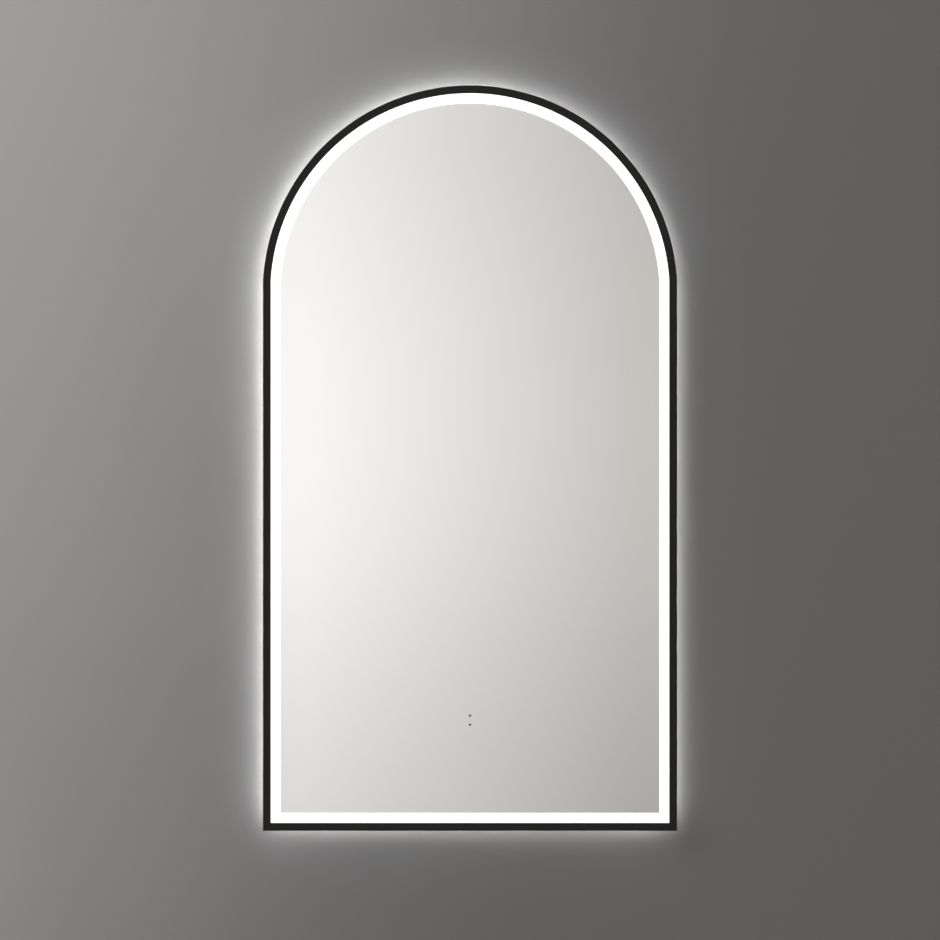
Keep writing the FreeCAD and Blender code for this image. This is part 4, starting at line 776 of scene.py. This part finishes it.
def makeWallWithPaintedShade():
    # plain lime plaster, dead matt, with faint trowel clouds; painted shade makes it pale at the upper left
    # and darker at the right and foot, as if lit from the left. It is seen through from behind.
    material, tree, shader, where = startMaterial("plasterWithPaintedShade", {"Roughness": 1.0, "Specular IOR Level": 0.0})
    clouds = addNode(tree, "ShaderNodeTexNoise", None, {
        "Vector": where, "Scale": 1 / stage["cloud"], "Detail": 4.0,
    })
    lean = addNode(tree, "ShaderNodeVectorMath", {"operation": "DOT_PRODUCT"}, {
        0: where, 1: (1.0, 0.0, -stage["wallPaintedShadeLean"]),
    })
    along = addNode(tree, "ShaderNodeMath", {"operation": "MULTIPLY_ADD"}, {
        0: clouds.outputs["Fac"], 1: stage["wallClouds"], 2: lean.outputs["Value"],
    })
    fade = addNode(tree, "ShaderNodeMapRange", {"interpolation_type": "SMOOTHSTEP"}, {
        "Value": along.outputs["Value"], "From Min": stage["wallPaintedShadeFade"][0] + stage["wallClouds"] / 2,
        "From Max": stage["wallPaintedShadeFade"][1] + stage["wallClouds"] / 2,
    })
    # painted shade: the wall goes from the lit colour at the upper left to the shaded one at the right and
    # foot
    pale, dark = stage["wallLitAndShadedColours"]
    blend = addNode(tree, "ShaderNodeMix", {"data_type": "RGBA"}, {
        "Factor": fade.outputs["Result"], colourLow: linear(pale), colourHigh: linear(dark),
    })
    tree.links.new(blend.outputs[colourOut], shader.inputs["Base Color"])
    clear = addNode(tree, "ShaderNodeBsdfTransparent")
    behind = addNode(tree, "ShaderNodeNewGeometry").outputs["Backfacing"]
    both = addNode(tree, "ShaderNodeMixShader", None, {
        0: behind, 1: shader.outputs["BSDF"], 2: clear.outputs["BSDF"],
    })
    tree.links.new(both.outputs["Shader"], tree.nodes["Material Output"].inputs["Surface"])
    return material


def addStage(name, mesh, material):
    mesh.materials.append(material)
    surface = bpy.data.objects.new(name, mesh)
    bpy.context.scene.collection.objects.link(surface)
    return surface


def makeWall():
    # a flat wall with an arched hole that stays hidden behind the mirror
    half, top, low, radius = stage["wallHalf"], stage["wallTop"], stage["floorHeight"], stage["opening"]
    glassLow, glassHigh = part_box("mirror_glass")
    centre = glassHigh.z - glassHigh.x
    outer = [(-half, low), (half, low), (half, top), (-half, top)]
    inner = [(radius, glassLow.z + stage["openingRise"]), (-radius, glassLow.z + stage["openingRise"])]
    for step in range(stage["archSteps"] + 1):
        angle = math.pi * (1 - step / stage["archSteps"])
        inner.append((radius * math.cos(angle), centre + radius * math.sin(angle)))
    form = bmesh.new()
    edges = []
    for loop in (outer, inner):
        corners = [form.verts.new((x, stage["wallGap"], z)) for x, z in loop]
        edges += [form.edges.new(pair) for pair in zip(corners, corners[1:] + corners[:1])]
    bmesh.ops.triangle_fill(form, edges=edges, use_beauty=True)
    for face in form.faces:
        face.normal_update()
        if face.normal.y > 0:
            face.normal_flip()
    addStage("wall", meshFrom(form, "wall"), makeWallWithPaintedShade())


def makeFloor():
    half, height = stage["floorHalf"], stage["floorHeight"]
    mesh = bpy.data.meshes.new("floor")
    corners = [(-half, -half), (half, -half), (half, half), (-half, half)]
    mesh.from_pydata([(x, y, height) for x, y in corners], [], [(0, 1, 2, 3)])
    material, tree, shader, where = startMaterial("mattFloorPaint", {"Roughness": 0.8})
    driftColour(tree, shader, where, stage["floorColours"], stage["floorPatch"])
    floor = addStage("floor", mesh, material)
    # the mirror shows the room's own soft lower half instead of this floor's edge
    floor.visible_glossy = False
    floor.visible_transmission = False


def makeWorld():
    # Even light for surfaces. What shines or mirrors sees a soft bright window side at the left, which
    # falls off to a warm grey at the right and towards the ground.
    room = {
        "light": "#f6f6f4", "strength": 0.62, "background": "#dcdbd7",
        "across": ((0.0, "#bdbdbb"), (0.3, "#d9d9d7"), (0.4625, "#fffffd"), (0.5375, "#c9c8c4"),
                   (0.75, "#b6b5b1"), (1.0, "#9c9b98")),
        "upright": ((0.0, 0.7), (0.425, 0.745), (0.47, 0.915), (0.515, 1.0), (0.572, 0.915), (1.0, 0.8)),
    }
    world = bpy.data.worlds.new("room")
    bpy.context.scene.world = world
    world.use_nodes = True
    tree = world.node_tree
    tree.nodes.clear()
    way = addNode(tree, "ShaderNodeTexCoord").outputs["Generated"]
    axes = addNode(tree, "ShaderNodeSeparateXYZ", None, {"Vector": way})
    ramps = {}
    for axis, key in (("X", "across"), ("Z", "upright")):
        share = addNode(tree, "ShaderNodeMapRange", None, {"Value": axes.outputs[axis], "From Min": -1.0})
        ramp = addNode(tree, "ShaderNodeValToRGB", None, {"Fac": share.outputs["Result"]})
        ramp.color_ramp.interpolation = "LINEAR" if key == "across" else "CARDINAL"
        stops = ramp.color_ramp.elements
        while len(stops) < len(room[key]):
            stops.new(0.5)
        for stop, (at, value) in zip(stops, room[key]):
            stop.position = at
            stop.color = linear(value) if key == "across" else (value, value, value, 1.0)
        ramps[key] = ramp.outputs["Color"]
    seen = addNode(tree, "ShaderNodeBackground", None, {
        "Color": ramps["across"], "Strength": ramps["upright"],
    })
    light = addNode(tree, "ShaderNodeBackground", None, {
        "Color": linear(room["light"]), "Strength": room["strength"],
    })
    plain = addNode(tree, "ShaderNodeBackground", None, {"Color": linear(room["background"])})
    ray = addNode(tree, "ShaderNodeLightPath")
    shiny = addNode(tree, "ShaderNodeMath", {"operation": "MAXIMUM"}, {
        0: ray.outputs["Is Glossy Ray"], 1: ray.outputs["Is Transmission Ray"],
    })
    lit = addNode(tree, "ShaderNodeMixShader", None, {
        0: shiny.outputs["Value"], 1: light.outputs["Background"], 2: seen.outputs["Background"],
    })
    around = addNode(tree, "ShaderNodeMixShader", None, {
        0: ray.outputs["Is Camera Ray"], 1: lit.outputs["Shader"], 2: plain.outputs["Background"],
    })
    addNode(tree, "ShaderNodeOutputWorld", None, {"Surface": around.outputs["Shader"]})


def addSoftbox(name, softbox):
    data = bpy.data.lights.new(name, "AREA")
    data.shape = "SQUARE"
    data.size = softbox["size"]
    data.energy = softbox["power"]
    lamp = bpy.data.objects.new(name, data)
    lamp.location = softbox["at"]
    lamp.rotation_mode = "QUATERNION"
    lamp.rotation_quaternion = (Vector(softbox["aim"]) - Vector(softbox["at"])).to_track_quat("-Z", "Y")
    # the lamps light the surfaces, and nothing shows them
    lamp.visible_camera = lamp.visible_glossy = lamp.visible_transmission = False
    bpy.context.scene.collection.objects.link(lamp)


def makeCamera():
    # level with the middle of the picture; viewWidth is what the picture takes in at the frame's front
    view = {"lens": 85, "sensor": 36, "height": -184.4 * mm, "viewWidth": 1134.6 * mm}
    data = bpy.data.cameras.new("camera")
    data.lens = view["lens"]
    data.sensor_width = view["sensor"]
    data.dof.use_dof = False
    camera = bpy.data.objects.new("camera", data)
    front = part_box("frame_arch")[0].y
    camera.location = (0, front - view["viewWidth"] * view["lens"] / view["sensor"], view["height"])
    camera.rotation_euler = (math.radians(90), 0, 0)
    bpy.context.scene.collection.objects.link(camera)
    bpy.context.scene.camera = camera


makeWall()
makeFloor()
makeWorld()
addSoftbox("softboxLeft", {"at": (-2.3, -2.6, 1.5), "aim": (0, 0, -0.17), "size": 2.0, "power": 75})
addSoftbox("softboxBehind", {"at": (1.6, 2.6, 1.2), "aim": (0, 0, -0.17), "size": 2.0, "power": 55})
makeCamera()
bpy.context.scene.view_settings.view_transform = "Standard"
print("stage made")
